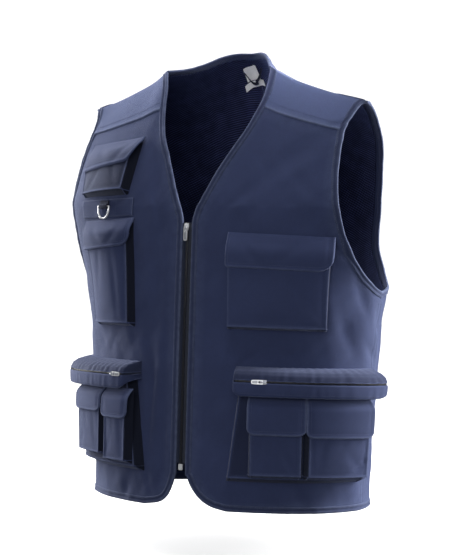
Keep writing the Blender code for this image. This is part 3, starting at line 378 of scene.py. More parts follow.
def link(name, data):
    made = bpy.data.objects.new(name, data)
    bpy.context.scene.collection.objects.link(made)
    return made


def make_mesh(name, verts, faces, material, uv=None, wear_and_painted_light=None, smooth=True):
    mesh = bpy.data.meshes.new(name)
    verts = np.asarray(verts, float)
    mesh.from_pydata(verts.tolist(), [], faces)
    loops = np.zeros(len(mesh.loops), np.int32)
    mesh.loops.foreach_get("vertex_index", loops)
    uv = verts[:, [0, 2]] if uv is None else uv
    layer = mesh.uv_layers.new(name="UVMap")
    layer.data.foreach_set("uv", np.asarray(uv, np.float32)[loops].ravel())
    # Point channel read by the cloth: above 0 rubbed wear, with painted highlight on pocket and flap edges;
    # below 0 painted shade.
    wear_and_painted_light_layer = mesh.attributes.new("wear_and_painted_light", "FLOAT", "POINT")
    if wear_and_painted_light is not None:
        wear_and_painted_light_layer.data.foreach_set("value", np.asarray(wear_and_painted_light, np.float32).ravel())
    mesh.polygons.foreach_set("use_smooth", [smooth] * len(mesh.polygons))
    if smooth:
        mesh.set_sharp_from_angle(angle=math.radians(SHARP_ANGLE))
    mesh.materials.append(material)
    return link(name, mesh)


def face_out(piece):
    """Turn the faces of a closed piece outwards."""
    work = bmesh.new()
    work.from_mesh(piece.data)
    bmesh.ops.recalc_face_normals(work, faces=work.faces[:])
    if work.calc_volume(signed=True) < 0:
        bmesh.ops.reverse_faces(work, faces=work.faces[:])
    work.to_mesh(piece.data)
    work.free()
    return piece


def slab(name, outer, inner, material, wear_and_painted_light=None):
    """Closed shell between two grids of points."""
    rows, columns = outer.shape[:2]
    half = rows * columns
    index = np.arange(half).reshape(rows, columns)
    quads = [index[:-1, :-1], index[:-1, 1:], index[1:, 1:], index[1:, :-1]]
    front = np.stack([corner.ravel() for corner in quads], 1)
    faces = front.tolist() + (half + front[:, ::-1]).tolist()
    rim = np.concatenate([index[0], index[1:, -1], index[-1, -2::-1], index[-2:0:-1, 0]]).tolist()
    for p, q in zip(rim, rim[1:] + rim[:1]):
        faces.append([q, p, half + p, half + q])
    uv = metric_uv(outer)
    rub_and_painted_light = np.zeros(half) if wear_and_painted_light is None else np.asarray(wear_and_painted_light, float).ravel()
    verts = np.concatenate([outer.reshape(-1, 3), inner.reshape(-1, 3)])
    twice = np.concatenate([uv, uv])
    return face_out(make_mesh(name, verts, faces, material, twice, np.concatenate([rub_and_painted_light, rub_and_painted_light * 0])))


def shell(name, outer, thick, material, wear_and_painted_light=None):
    """Cloth of one thickness under a grid of points on its outer face."""
    out = unit(np.cross(np.gradient(outer, axis=1), np.gradient(outer, axis=0)))
    return slab(name, outer, outer - outward(out, outer) * thick, material, wear_and_painted_light)


def rings_mesh(name, rings, closed, material, wear_and_painted_light=None):
    """Closed body from a row of rings of points."""
    rings = np.asarray(rings, float)
    count, size = rings.shape[:2]
    index = np.arange(count * size).reshape(count, size)
    following = np.roll(index, -1, axis=0)
    quads = [index, np.roll(index, -1, axis=1), np.roll(following, -1, axis=1), following]
    quads = np.stack(quads, -1)[:count if closed else count - 1]
    faces = quads.reshape(-1, 4).tolist()
    if not closed:
        faces += [index[0, ::-1].tolist(), index[-1].tolist()]
    girth = np.linalg.norm(np.diff(rings, axis=1, append=rings[:, :1]), axis=2)
    across = np.cumsum(girth, axis=1) - girth
    along = np.repeat(run_length(rings.mean(1))[:, None], size, 1)
    uv = np.stack([along, across], -1).reshape(-1, 2)
    rub_and_painted_light = None if wear_and_painted_light is None else np.broadcast_to(wear_and_painted_light, (count, size)).ravel()
    return face_out(make_mesh(name, rings.reshape(-1, 3), faces, material, uv, rub_and_painted_light))


def place_on(piece, body_name, slot_name, *nodes):
    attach(piece, body_name)
    if nodes:
        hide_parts(*nodes)


# Materials

class Shade:
    """Nodes of one material, with short ways to add them and to join them."""

    def __init__(self, name, tone):
        self.material = bpy.data.materials.new(name)
        self.material.use_nodes = True
        self.material.diffuse_color = (*tone, 1.0)
        self.tree = self.material.node_tree
        self.shader = self.tree.nodes["Principled BSDF"]
        place = self.add("TexCoord")
        self.where = place.outputs["Object"]
        self.uv = place.outputs["UV"]

    def add(self, kind, **values):
        node = self.tree.nodes.new("ShaderNode" + kind)
        for key, value in values.items():
            setattr(node, key, value)
        return node

    def feed(self, node, values):
        """Join outputs to a node's inputs, or set them to plain values."""
        for key, value in values.items():
            if isinstance(value, bpy.types.NodeSocket):
                self.tree.links.new(value, node.inputs[key])
            else:
                node.inputs[key].default_value = value

    def maths(self, operation, *values):
        node = self.add("Math", operation=operation)
        self.feed(node, dict(enumerate(values)))
        return node.outputs[0]

    def times(self, a, b):
        return self.maths("MULTIPLY", a, b)

    def times_add(self, a, b, c):
        return self.maths("MULTIPLY_ADD", a, b, c)

    def wave(self, at, turns):
        return self.maths("SINE", self.times(at, turns))

    def split_uv(self):
        node = self.add("SeparateXYZ")
        self.feed(node, {0: self.uv})
        return node.outputs[0], node.outputs[1]

    def mix(self, factor, a, b):
        node = self.add("Mix", data_type="RGBA")
        self.feed(node, {0: factor, 6: (*a, 1.0), 7: (*b, 1.0)})
        return node.outputs[2]

    def noise(self, scale, detail):
        node = self.add("TexNoise")
        self.feed(node, {"Vector": self.where, "Scale": scale, "Detail": detail, "Roughness": 0.5})
        return node.outputs[0]

    def bump(self, height, strength, distance):
        node = self.add("Bump")
        self.feed(node, {"Height": height, "Strength": strength, "Distance": distance})
        self.feed(self.shader, {"Normal": node.outputs[0]})

    def finish(self, values):
        self.feed(self.shader, values)
        return self.material


def cloth_material(name, tone, pale, rib=0.00085, ribs=1.0, rough=0.86, sheen=0.30, slant=1.0, fade=0.34):
    """Twill: slanted ribs a rib apart and mottled dye; where the point channel is above 0 the yarn is paler
    (rubbed wear, and painted highlight on pocket and flap edges), and below 0 it is darker with painted
    shade.
    """
    s = Shade(name, tone)
    u, v = s.split_uv()
    turns = 2 * math.pi / rib
    twill = s.wave(s.times_add(u, slant, v), turns)
    weave = s.times_add(s.wave(u, turns * 1.9), 0.35, twill)
    fine = s.noise(140.0, 2.0)
    slub = s.noise(900.0, 1.0)
    shade = s.times_add(s.noise(11.0, 3.0), fade, 1.0 - fade / 2)
    for part, amount, least in ((fine, 0.18, 0.91), (weave, 0.05 * ribs, 1.0), (slub, 0.24, 0.88)):
        shade = s.times(shade, s.times_add(part, amount, least))
    wear_and_painted_light = s.add("Attribute", attribute_name="wear_and_painted_light").outputs["Fac"]
    # Channel values below 0 darken the cloth: painted shade in gussets, under lids and on upward faces.
    shade = s.times(shade, s.maths("ADD", s.maths("MINIMUM", wear_and_painted_light, 0.0), 1.0))
    # Values above 0 pale the yarn: rubbed wear, with painted highlight along pocket and flap edges.
    rub_and_painted_light = s.times(s.maths("MAXIMUM", wear_and_painted_light, 0.0), s.times_add(fine, 1.2, 0.15))
    dyed = s.add("VectorMath", operation="SCALE")
    s.feed(dyed, {0: s.mix(rub_and_painted_light, tone, pale), 3: shade})
    s.bump(s.times_add(slub, 0.8, s.times(weave, 0.5 * ribs)), 0.35, 0.00025)
    return s.finish({
        "Base Color": dyed.outputs[0], "Roughness": s.times_add(fine, 0.16, rough - 0.08),
        "Sheen Weight": sheen, "Sheen Roughness": 0.45, "Sheen Tint": (0.56, 0.64, 1.00, 1.0),
        "Specular IOR Level": 0.16,
    })


def lining_material(name, tone, pale):
    """Knitted mesh: rows of small dark holes, and a paler line along each row."""
    s = Shade(name, tone)
    u, v = s.split_uv()
    rows = s.wave(v, 2 * math.pi / 0.0036)
    holes = s.times(rows, s.wave(u, 2 * math.pi / 0.0030))
    lines = s.maths("POWER", s.times_add(rows, 0.5, 0.5), 3.0)
    amount = s.times_add(holes, 0.25, s.times(lines, 0.80))
    amount = s.times(s.maths("ADD", amount, 0.06), s.maths("ADD", s.noise(60.0, 3.0), 0.05))
    s.bump(amount, 0.5, 0.0006)
    return s.finish({
        "Base Color": s.mix(amount, tone, pale), "Roughness": 0.8, "Sheen Weight": 0.2,
        "Sheen Tint": (0.3, 0.4, 1.0, 1.0), "Specular IOR Level": 0.08,
    })


def metal_material(name, tone, rough):
    s = Shade(name, tone)
    dull = s.noise(220.0, 4.0)
    s.bump(s.noise(1400.0, 2.0), 0.12, 0.0001)
    colour = s.mix(s.times(dull, 0.5), tone, (tone[0] * 0.55, tone[1] * 0.55, tone[2] * 0.58))
    rough = s.times_add(dull, 0.25, rough - 0.1)
    return s.finish({"Base Color": colour, "Roughness": rough, "Metallic": 0.55})


def plastic_material(name, tone, rough):
    s = Shade(name, tone)
    fine = s.noise(500.0, 3.0)
    colour = s.mix(fine, tone, [n * 1.8 + 0.004 for n in tone])
    return s.finish({"Base Color": colour, "Roughness": s.times_add(fine, 0.25, rough - 0.12)})


cloth = cloth_material("navy_twill", (0.032, 0.043, 0.104), (0.095, 0.118, 0.210))
# Lighter copy of the same navy for the yokes: painted light where they face up to the overhead lamp.
top_lit_yoke_cloth = cloth_material("navy_twill_yoke_top_lit", (0.062, 0.080, 0.168), (0.135, 0.165, 0.270))
edge_cloth = cloth_material(
    "binding_twill", (0.025, 0.033, 0.078), (0.085, 0.105, 0.180), rib=0.0007, ribs=0.6)
webbing = cloth_material(
    "webbing", (0.011, 0.013, 0.026), (0.040, 0.046, 0.075), rib=0.0011, ribs=1.6, slant=0.0)
thread = cloth_material(
    "stitching_thread", (0.070, 0.085, 0.150), (0.150, 0.165, 0.240), rib=0.0004, ribs=0.5, rough=0.7)
mesh_cloth = lining_material("mesh_lining", (0.0030, 0.0038, 0.0125), (0.066, 0.082, 0.220))
label_cloth = cloth_material(
    "white_label", (0.93, 0.93, 0.92), (0.80, 0.80, 0.80), rib=0.0005, ribs=0.4, fade=0.06, sheen=0.1)
steel = metal_material("bright_steel", (0.95, 0.96, 0.98), 0.30)
dark_steel = metal_material("dark_steel", (0.42, 0.44, 0.48), 0.36)
coil_plastic = plastic_material("black_coil", (0.010, 0.011, 0.016), 0.45)
tape_cloth = cloth_material(
    "zip_tape_weave", (0.014, 0.018, 0.034), (0.050, 0.056, 0.080), rib=0.0009, ribs=1.2, slant=0.0)
pale_tape = cloth_material(
    "zip_tape_grey", (0.026, 0.029, 0.040), (0.060, 0.066, 0.085), rib=0.0009, ribs=1.6, slant=0.0)
retainer_plastic = plastic_material("retainer", (0.40, 0.41, 0.42), 0.4)


# Stitches

STITCHES = {}
STITCH_PITCH = 0.0034
STITCH_LENGTH = 0.0024
STITCH_HALF_WIDTH = 0.00021
STITCH_HEIGHT = 0.00022
# Just under the ridge, where the cloth still has a clear outward side
BELOW_RIDGE = -1e-5


def stitch_run(group, points, normals, pitch=STITCH_PITCH):
    """Keep the dashes of one seam: a run of points with the outward directions there."""
    run = run_length(points)
    for k in range(int(run[-1] / pitch)):
        middle = (k + 0.5) * pitch
        ends = [middle - STITCH_LENGTH / 2, middle + STITCH_LENGTH / 2]
        spot = np.array([[np.interp(e, run, points[:, a]) for a in range(3)] for e in ends])
        out = unit(np.array([np.interp(ends[0], run, normals[:, a]) for a in range(3)]))
        aside = np.cross(out, unit(spot[1] - spot[0])) * STITCH_HALF_WIDTH
        STITCHES.setdefault(group, []).append((spot[0], spot[1], aside, out * STITCH_HEIGHT))


def make_stitches():
    """One piece for each group of seams: every dash is a small raised lozenge."""
    for group, dashes in STITCHES.items():
        verts, faces = [], []
        for start, end, aside, up in dashes:
            base = len(verts)
            middle = (start + end) / 2
            low = up * -0.7
            verts += [start + low, middle + aside + low, end + low, middle - aside + low]
            verts += [start * 0.8 + middle * 0.2 + up * 0.6, middle + aside * 0.5 + up]
            verts += [end * 0.8 + middle * 0.2 + up * 0.6, middle - aside * 0.5 + up]
            for k in range(4):
                m = (k + 1) % 4
                faces.append([base + k, base + m, base + 4 + m, base + 4 + k])
            faces.append([base + 4, base + 5, base + 6, base + 7])
            faces.append([base + 3, base + 2, base + 1, base])
        place_on(make_mesh("stitching_" + group, verts, faces, thread), "vest", "cloth")


def seam_on(group, place, run, step=0.004, lift=0.00005):
    """Stitch along a run of places on a surface given as a function of two shares."""
    s, t = run[:, 0], run[:, 1]
    points = place(s, t)
    by_s = place(np.clip(s + step, 0, 1), t) - place(np.clip(s - step, 0, 1), t)
    by_t = place(s, np.clip(t + step, 0, 1)) - place(s, np.clip(t - step, 0, 1))
    out = outward(unit(np.cross(by_s, by_t)), points)
    stitch_run(group, points + out * lift, out)


def body_seam(group, turn, level, height=0.0001, pitch=STITCH_PITCH):
    """Stitch along a run of turns and levels on the trunk's own cloth."""
    turn, level = np.broadcast_arrays(turn, np.minimum(level, BELOW_RIDGE))
    stitch_run(group, lifted(turn, level, height), normal(turn, level), pitch)


# Outline of the cloth, finer than the CAD source

YOKE_ROWS, V_ROWS, ZIP_ROWS, CORNER_ROWS = 20, 45, 80, 30
ARM_ROWS, BACK_ROWS = 55, 135
FRONT_COLUMNS, BACK_COLUMNS, NECK_COLUMNS, SHOULDER_COLUMNS = 60, 100, 25, 25
# Level of the folded yoke seam at the neck and at the armhole
YOKE_SEAM = {1: (-0.0790, -0.0840), -1: (-0.0845, -0.0760)}
# The cloth runs on a little way under its bindings
CLOTH_INSET = BINDING_WIDTH - 0.0015
FREE_ENDS = {"keep_level": (0,), "keep_turn": (-1,)}


def mirrored(edge):
    """The same edge on the other side of the back, in the opposite order."""
    return pairs(360.0 - edge[::-1, 0], edge[::-1, 1])


class Outline:
    """Edges of one front; a strip is a binding's inner edge, and cloth is where cloth ends."""

    def __init__(self, side):
        column = 1 if side > 0 else 2
        share = share_at(NECK_EDGE, column, YOKE_SEAM[side][0])
        arm_share = share_at(ARM_FRONT, column, YOKE_SEAM[side][1])
        zip_share = share_at(ZIP_EDGE, column, ZIP_END)
        neck = spaced(NECK_EDGE, column, YOKE_ROWS, 0.0, share)
        vee = spaced(NECK_EDGE, column, V_ROWS, share, 1.0)
        straight = spaced(ZIP_EDGE, column, ZIP_ROWS, 0.0, zip_share)
        corner = spaced(ZIP_EDGE, column, CORNER_ROWS, zip_share, 1.0)
        self.front = join_runs([neck, vee, straight, corner])
        turns = np.linspace(self.front[-1, 0], 90.0 * side, FRONT_COLUMNS + 1)
        self.hem = pairs(turns, HEM_LEVEL)
        arm_top = spaced(ARM_FRONT, column, YOKE_ROWS, 0.0, arm_share)
        self.arm = join_runs([arm_top, spaced(ARM_FRONT, column, ARM_ROWS, arm_share, 1.0)])
        chain = join_runs([self.front, self.hem])
        strip = inset(chain, BINDING_WIDTH * side, **FREE_ENDS)
        under = inset(chain, CLOTH_INSET * side, **FREE_ENDS)
        turn_at = len(self.front)
        self.front_strip, self.hem_strip = strip[:turn_at], strip[turn_at - 1:]
        self.front_cloth, self.hem_cloth = under[:turn_at], under[turn_at - 1:]
        self.arm_strip = inset(self.arm, -BINDING_WIDTH * side, **FREE_ENDS)
        self.arm_cloth = inset(self.arm, -CLOTH_INSET * side, **FREE_ENDS)


class BackOutline:
    """Edges of the back, the same way."""

    def __init__(self):
        self.arm = spaced(ARM_BACK, 1, ARM_ROWS)
        self.arm_strip = inset(self.arm, BINDING_WIDTH, **FREE_ENDS)
        self.arm_cloth = inset(self.arm, CLOTH_INSET, **FREE_ENDS)
        half = spaced(NECK_BACK, 1, NECK_COLUMNS)
        self.neck = join_runs([half, mirrored(half)])
        self.neck_strip = inset(self.neck, -BINDING_WIDTH, keep_level=(0, -1))
        self.neck_cloth = inset(self.neck, -CLOTH_INSET, keep_level=(0, -1))
        self.hem = pairs(np.linspace(90.0, 270.0, BACK_COLUMNS + 1), HEM_LEVEL)
        straight = range(len(self.hem))
        self.hem_strip = inset(self.hem, BINDING_WIDTH, keep_turn=straight)
        self.hem_cloth = inset(self.hem, CLOTH_INSET, keep_turn=straight)


LINES = {1: Outline(1), -1: Outline(-1)}
BACK = BackOutline()
WORDS = {1: "left", -1: "right"}


# Fronts, yokes, back and lining

PANEL_WEAR = 0.25
WEAR_REACH = 5
SIDE_STITCH_TURNS = {1: 88.9, -1: -88.9}
BACK_STITCH_TURNS = (91.1, 268.9)
SIDE_STITCH_LEVELS = np.linspace(-0.604, -0.325, 60)
UNDER_YOKE = 0.0006
# Folded lower edge of a yoke: way below the seam, height over the panel, wear
YOKE_FOLD = np.array((
    (0.0036, 0.0001, 0.50), (0.0033, 0.0014, 0.90), (0.0024, 0.0020, 0.70), (0.0013, 0.0018, 0.35),
))
YOKE_EASE = np.linspace(0.0016, 0.0, 14)
YOKE_STITCH_ROW = 6
LINING_SHARE = 0.985
LINING_HEIGHT = -CLOTH - 0.0020
LINING_THICK = 0.0008
LINING_CLIMB = 0.0070
LINING_TOP = -0.0004
LINING_SAG = 0.0006


def edge_wear(rows, columns):
    """Wear of a panel, high along all four edges."""
    r = np.minimum(np.arange(rows), np.arange(rows)[::-1])[:, None]
    c = np.minimum(np.arange(columns), np.arange(columns)[::-1])[None, :]
    return np.clip(1 - np.minimum(r, c) / WEAR_REACH, 0.0, 1.0) * PANEL_WEAR


def side_seam(low, high, rows):
    return pairs(low[0], np.linspace(low[1], high[1], rows + 1))


def declare(piece, face):
    """Work out how large the cut piece of cloth is, from the shape it hangs in; the width, length and area
    are not used.
    """
    width = float(np.linalg.norm(np.diff(face, axis=1), axis=2).sum(1).max())
    length = float(np.linalg.norm(np.diff(face, axis=0), axis=2).sum(0).max())
    area = sum(side.area for side in piece.data.polygons) / 2
    area = round(float(min(area, 0.999 * width * length)), 4)


def build_front(side, word):
    """Front panel up to the yoke seam, with its top row under the yoke. Returns that row."""
    line = LINES[side]
    edge = line.front_cloth[YOKE_ROWS:][::-1]
    arm = line.arm_cloth[YOKE_ROWS:][::-1]
    outer_edge = join_runs([side_seam(line.hem_cloth[-1], arm[0], len(edge) - len(arm)), arm])
    bottom = line.hem_cloth.copy()
    bottom[-1] = outer_edge[0]
    s = np.linspace(0, 1, len(bottom))[:, None]
    top = (1 - s) * edge[-1] + s * outer_edge[-1]
    grid = patch(bottom, top, edge, outer_edge)
    grid[-1, :, 1] += UNDER_YOKE
    outer = lifted(grid[..., 0], grid[..., 1], 0.0)
    piece = shell("front_panel_cloth_" + word, outer, CLOTH, cloth, edge_wear(*grid.shape[:2]))
    place_on(piece, "vest", "cloth", "front_panel_" + word)
    declare(piece, outer)
    body_seam("side_" + word, SIDE_STITCH_TURNS[side], SIDE_STITCH_LEVELS)
    return top


def build_yoke(side, word, bottom):
    """Yoke, with its folded lower edge lying over the panel."""
    line = LINES[side]
    left = line.front_cloth[:YOKE_ROWS + 1][::-1]
    right = line.arm_cloth[:YOKE_ROWS + 1][::-1]
    ridge = pairs(np.linspace(left[-1, 0], right[-1, 0], len(bottom)), 0.0)
    yoke = patch(bottom, ridge, left, right)
    folds = len(YOKE_FOLD)
    fold = yoke[:1].repeat(folds, 0)
    fold[..., 1] -= YOKE_FOLD[:, :1]
    full = np.concatenate([fold, yoke])
    full[-1, :, 1] = 0.0
    lift = np.zeros(full.shape[:2])
    lift[:folds] = YOKE_FOLD[:, 1:2]
    lift[folds:folds + len(YOKE_EASE)] = YOKE_EASE[:, None]
    outer = lifted(full[..., 0], full[..., 1], lift)
    outer[-1, :, 1] -= 0.0002
    wear_and_painted_light = np.zeros(full.shape[:2])
    wear_and_painted_light[:folds] = YOKE_FOLD[:, 2:]
    wear_and_painted_light[folds] = 0.15
    # The yoke gets the lighter copy of the navy: painted light from the overhead lamp.
    piece = shell("top_lit_yoke_cloth_" + word, outer, CLOTH, top_lit_yoke_cloth, wear_and_painted_light)
    place_on(piece, "vest", "light_cloth", "yoke_" + word)
    declare(piece, outer)
    body_seam("yoke_" + word, *full[YOKE_STITCH_ROW].T, height=0.0017)


def build_back():
    arm = BACK.arm_cloth[::-1]
    left = join_runs([side_seam(BACK.hem_cloth[0], arm[0], BACK_ROWS - ARM_ROWS), arm])
    right = pairs(360.0 - left[:, 0], left[:, 1])
    bottom = BACK.hem_cloth.copy()
    bottom[0], bottom[-1] = left[0], right[0]
    shoulder = pairs(np.linspace(left[-1, 0], BACK.neck_cloth[0, 0], SHOULDER_COLUMNS + 1), 0.0)
    top = np.concatenate([shoulder, BACK.neck_cloth[1:-1], mirrored(shoulder)])
    grid = patch(bottom, top, left, right)
    outer = lifted(grid[..., 0], grid[..., 1], 0.0)
    piece = shell("back_panel_cloth", outer, CLOTH, cloth, edge_wear(*grid.shape[:2]))
    place_on(piece, "vest", "cloth", "back_panel")
    declare(piece, outer)
    for turn in BACK_STITCH_TURNS:
        body_seam("back", turn, SIDE_STITCH_LEVELS)
    build_lining(grid)


def build_lining(grid):
    """Mesh lining, a little smaller than the back and just inside it."""
    middle = grid.mean(axis=(0, 1))
    small = (middle + (grid - middle) * LINING_SHARE)[::2, ::2]
    turn, level = small[..., 0], small[..., 1]
    level = level + LINING_CLIMB * np.linspace(0, 1, len(small))[:, None] ** 8
    level = np.minimum(level, LINING_TOP)
    height = LINING_HEIGHT + LINING_SAG * np.sin(turn * 0.9) * np.sin(level * 60.0)
    outer = lifted(turn, level, height)
    piece = slab("mesh_lining", outer, lifted(turn, level, height - LINING_THICK), mesh_cloth)
    place_on(piece, "vest", "lining", "back_lining")
    declare(piece, outer)


# Bound edges

# Profile of a binding: share across from the outer edge, height over the cloth, wear
BINDING_PROFILE = (
    (0.00, -0.0008, 0.60), (0.015, 0.0002, 0.90), (0.07, 0.0011, 1.00), (0.17, 0.0017, 0.70),
    (0.30, 0.0016, 0.35), (0.42, 0.0010, 0.10), (0.52, 0.00055, 0.0), (0.62, 0.0008, 0.10),
    (0.76, 0.0012, 0.35), (0.90, 0.0011, 0.50), (0.98, 0.0006, 0.60), (1.00, 0.0000, 0.30),
    (1.00, -0.0018, 0.0), (0.75, -0.0022, 0.0), (0.35, -0.0024, 0.0), (0.10, -0.0022, 0.0),
    (0.015, -0.0016, 0.0),
)
# Pucker along a binding: wavelength, height, phase
BINDING_PUCKER = ((0.0061, 0.00016, 0.0), (0.0173, 0.00012, 1.0))
BINDING_STITCH = (0.80, 0.00125)
BINDING_PITCH = 0.0032
# Above this level a binding is smoothed where it turns over the shoulder
RIDGE_ZONE = -0.008
RIDGE_PASSES = 6


def bound_edge(name, far, near, closed, node, group):
    """Folded tape sewn round an edge, with the tape's slight pucker along it."""
    count = len(far)
    run = run_length(lifted(far[:, 0], far[:, 1], 0.0))
    pucker = sum(high * np.sin(run * 2 * math.pi / long + phase) for long, high, phase in BINDING_PUCKER)
    rings = []
    for share, height, _ in BINDING_PROFILE:
        spot = far + (near - far) * share
        ripple = pucker if height > 0.0004 else 0.0
        rings.append(lifted(spot[:, 0], np.minimum(spot[:, 1], 0.0), height + ripple + run * 0))
    rings = np.stack(rings, 1)
    ridge = [i for i in range(count) if far[i, 1] > RIDGE_ZONE and (closed or 0 < i < count - 1)]
    for _ in range(RIDGE_PASSES):
        for i in ridge:
            rings[i] = (rings[i - 1] + 2 * rings[i] + rings[(i + 1) % count]) / 4
    wear_and_painted_light = np.array([row[2] for row in BINDING_PROFILE])[None, :]
    place_on(rings_mesh(name, rings, closed, edge_cloth, wear_and_painted_light), "vest", "binding", node)
    share, height = BINDING_STITCH
    spot = far + (near - far) * share
    body_seam(group, spot[:, 0], spot[:, 1], height, BINDING_PITCH)


def build_bindings():
    turned = {1: np.array([1.0, 1.0]), -1: np.array([-1.0, 1.0])}
    for side, word in WORDS.items():
        line = LINES[side]
        bound_edge(
            "front_edge_binding_" + word, line.front, line.front_strip, False,
            "front_binding_" + word, "front_" + word)
        outer = np.concatenate([line.arm, (BACK.arm * turned[side])[::-1][1:-1]])
        inner = np.concatenate([line.arm_strip, (BACK.arm_strip * turned[side])[::-1][1:-1]])
        bound_edge(
            "armhole_edge_" + word, outer, inner, True, "armhole_binding_" + word, "arm_" + word)
    bound_edge("neck_edge_back", BACK.neck, BACK.neck_strip, False, "back_neck_binding", "neck")
    left, right = LINES[1], LINES[-1]
    whole_turn = np.array([360.0, 0.0])
    far = join_runs([left.hem, BACK.hem, right.hem[::-1] + whole_turn])
    near = join_runs([left.hem_strip, BACK.hem_strip, right.hem_strip[::-1] + whole_turn])
    bound_edge("hem_edge", far, near, False, "hem_binding", "hem")


# Pockets

# Turns on the zip side at the top and the foot, the same on the far side, top and foot level,
# depth, more of it at the sides, height of the seam, way from the top to full depth, and for
# two pockets the depth lost towards the far side
POCKETS = {
    "chest_pocket_left": (25.4, 25.6, 65.4, 67.2, -0.2425, -0.366, 0.0120, 0.0, SEAT, 0.030),
    "upper_pocket_right": (
        -36.6, -38.9, -66.0, -63.5, -0.1165, -0.1745, 0.0180, -0.003, SEAT, 0.022, 0.0095),
    "tall_pocket_right": (
        -34.4, -33.2, -61.5, -60.5, -0.2225, -0.368, 0.0180, -0.006, SEAT, 0.022, 0.0045),
    "lower_pocket_left": (33.2, 27.0, 86.0, 86.5, -0.4300, -0.572, 0.0130, 0.004, 0.0012, 0.020),
    "lower_pocket_right": (-31.6, -24.2, -86.0, -86.5, -0.4300, -0.568, 0.0130, 0.004, 0.0012, 0.020),
}
# Pocket, then turn on the zip side and the far side, upper and lower level on each side, and
# the rounding of the two lower corners
FLAPS = {
    "chest_flap_left": (
        "chest_pocket_left", 25.0, 65.9, -0.2345, -0.2825, -0.2385, -0.2845, 0.006, 0.018),
    "upper_flap_right": (
        "upper_pocket_right", -35.2, -65.2, -0.1120, -0.1390, -0.1020, -0.1410, 0.022, 0.008),
    "tall_flap_right": (
        "tall_pocket_right", -33.4, -62.4, -0.2155, -0.2540, -0.2205, -0.2610, 0.016, 0.008),
}
# Looks of a pocket and of its flap: edge, pleat and painted shade, then rise and painted shade of the flap
UPPER_LOOKS = {
    "chest_flap_left": (0.0035, 0.0015, 0.0, 0.0004, 0.0),
    "upper_flap_right": (0.0042, 0.0030, 0.60, 0.0012, 0.30),
    "tall_flap_right": (0.0042, 0.0030, 0.0, 0.0020, 0.15),
}
# Lower pocket, near and far turn, top and foot level, level where the flap ends
SMALL_POCKETS = {
    "inner_small_pocket_left": ("lower_pocket_left", 38.4, 60.1, -0.4590, -0.5640, -0.5060),
    "outer_small_pocket_left": ("lower_pocket_left", 60.5, 82.8, -0.4590, -0.5650, -0.5080),
    "inner_small_pocket_right": ("lower_pocket_right", -27.6, -45.2, -0.4580, -0.5580, -0.4960),
    "outer_small_pocket_right": ("lower_pocket_right", -46.8, -68.0, -0.4570, -0.5520, -0.4900),
}
# Creases in a piece's own shares: middle, half sizes, lean, depth
POCKET_CREASES = {
    "chest_pocket_left": (
        (0.30, 0.75, 0.05, 0.20, 0.5, 0.0009), (0.72, 0.45, 0.06, 0.22, -0.6, 0.0009),
        (0.5, 0.10, 0.20, 0.06, 0.0, 0.0008)),
    "upper_pocket_right": ((0.35, 0.6, 0.06, 0.3, 0.3, 0.0012), (0.7, 0.4, 0.05, 0.25, -0.4, 0.0010)),
    "tall_pocket_right": (
        (0.30, 0.40, 0.05, 0.30, 0.15, 0.0011), (0.66, 0.62, 0.05, 0.22, -0.2, 0.0010),
        (0.45, 0.12, 0.16, 0.05, 0.0, 0.0010)),
}
FLAP_CREASES = (
    (0.3, 0.6, 0.07, 0.3, 0.3, 0.0012), (0.65, 0.5, 0.06, 0.35, -0.3, 0.0012),
    (0.48, 0.25, 0.25, 0.10, 0.0, 0.0010),
)
LOWER_CREASES = ((0.12, 0.5, 0.04, 0.3, 0.1, 0.0012),)
SMALL_CREASES = (
    (0.25, 0.40, 0.07, 0.25, 0.2, 0.0009), (0.75, 0.22, 0.07, 0.12, -0.6, 0.0011),
    (0.6, 0.6, 0.05, 0.2, 0.3, 0.0007),
)
CORNER_CREASES = ((0.82, 0.16, 0.05, 0.05, 1.2, 0.0016), (0.90, 0.24, 0.05, 0.05, -1.2, 0.0014))
BAG_TOP = (-0.4160, -0.4160)
BAG_THICK = 0.0011
FLAP_THICK = 0.0017
# Painted shade deep in the folded gussets of the pockets.
GUSSET_PAINTED_SHADE = 0.85
PIPE_STEPS = np.array([0.0006, 0.0014, 0.0024, 0.0038])
FLAP_EDGE = np.array([0.0, 0.0004, 0.0011, 0.0022, 0.0036, 0.0052])


def hump(at, middle, width):
    return np.exp(-((at - middle) / width) ** 2)


def quarter(share):
    """Drop of a quarter circle, 0 at share 0 and 1 at share 1."""
    return 1 - np.sqrt(np.maximum(1 - share**2, 0.0))


def creased(rows, s, t):
    total = np.zeros(np.shape(s))
    for s0, t0, wide, high, lean, deep in rows:
        total = total + deep * hump(s - s0 - lean * (t - t0), 0.0, wide) * hump(t, t0, high)
    return total


def metres(near, far, level):
    """Width on the body between two turns."""
    by_turn, _ = slopes(np.array((near + far) / 2), np.array(level), True)
    return abs(far - near) * float(np.linalg.norm(by_turn))


def swell(pocket, s, level, start):
    """Height of a pocket's front over the body, sloping away from its top seam."""
    depth, bow, base, run = pocket[6:10]
    first = start[0] + (start[1] - start[0]) * s
    along = np.clip((first - level) / run, 0.0, 1.0)
    full = depth + bow * (2 * s - 1) ** 2
    if len(pocket) > 10:
        full = full - pocket[10] * s
    return base + (full - base) * np.sin(along * math.pi / 2)


def wall_line(span, edge, both=True):
    """Shares along one direction of a pocket, close together on the gusset and its piped edge."""
    close = np.concatenate([np.linspace(0, edge, 7), edge + PIPE_STEPS])
    inner = close[-1]
    stop = span - inner if both else span
    count = max(3, int((stop - inner) / 0.0032))
    middle = np.linspace(inner, stop, count + 1)[1:-1]
    end = span - close[::-1] if both else [span]
    return np.concatenate([close, middle, end]) / span


def seam_round(group, place, aside, foot, top, side_count, foot_count):
    """Stitch down one side, along the foot and up the other side."""
    seam_on(group, place, pairs(aside, np.linspace(top, foot, side_count)))
    seam_on(group, place, pairs(np.linspace(aside, 1 - aside, foot_count), foot))
    seam_on(group, place, pairs(1 - aside, np.linspace(foot, top, side_count)))


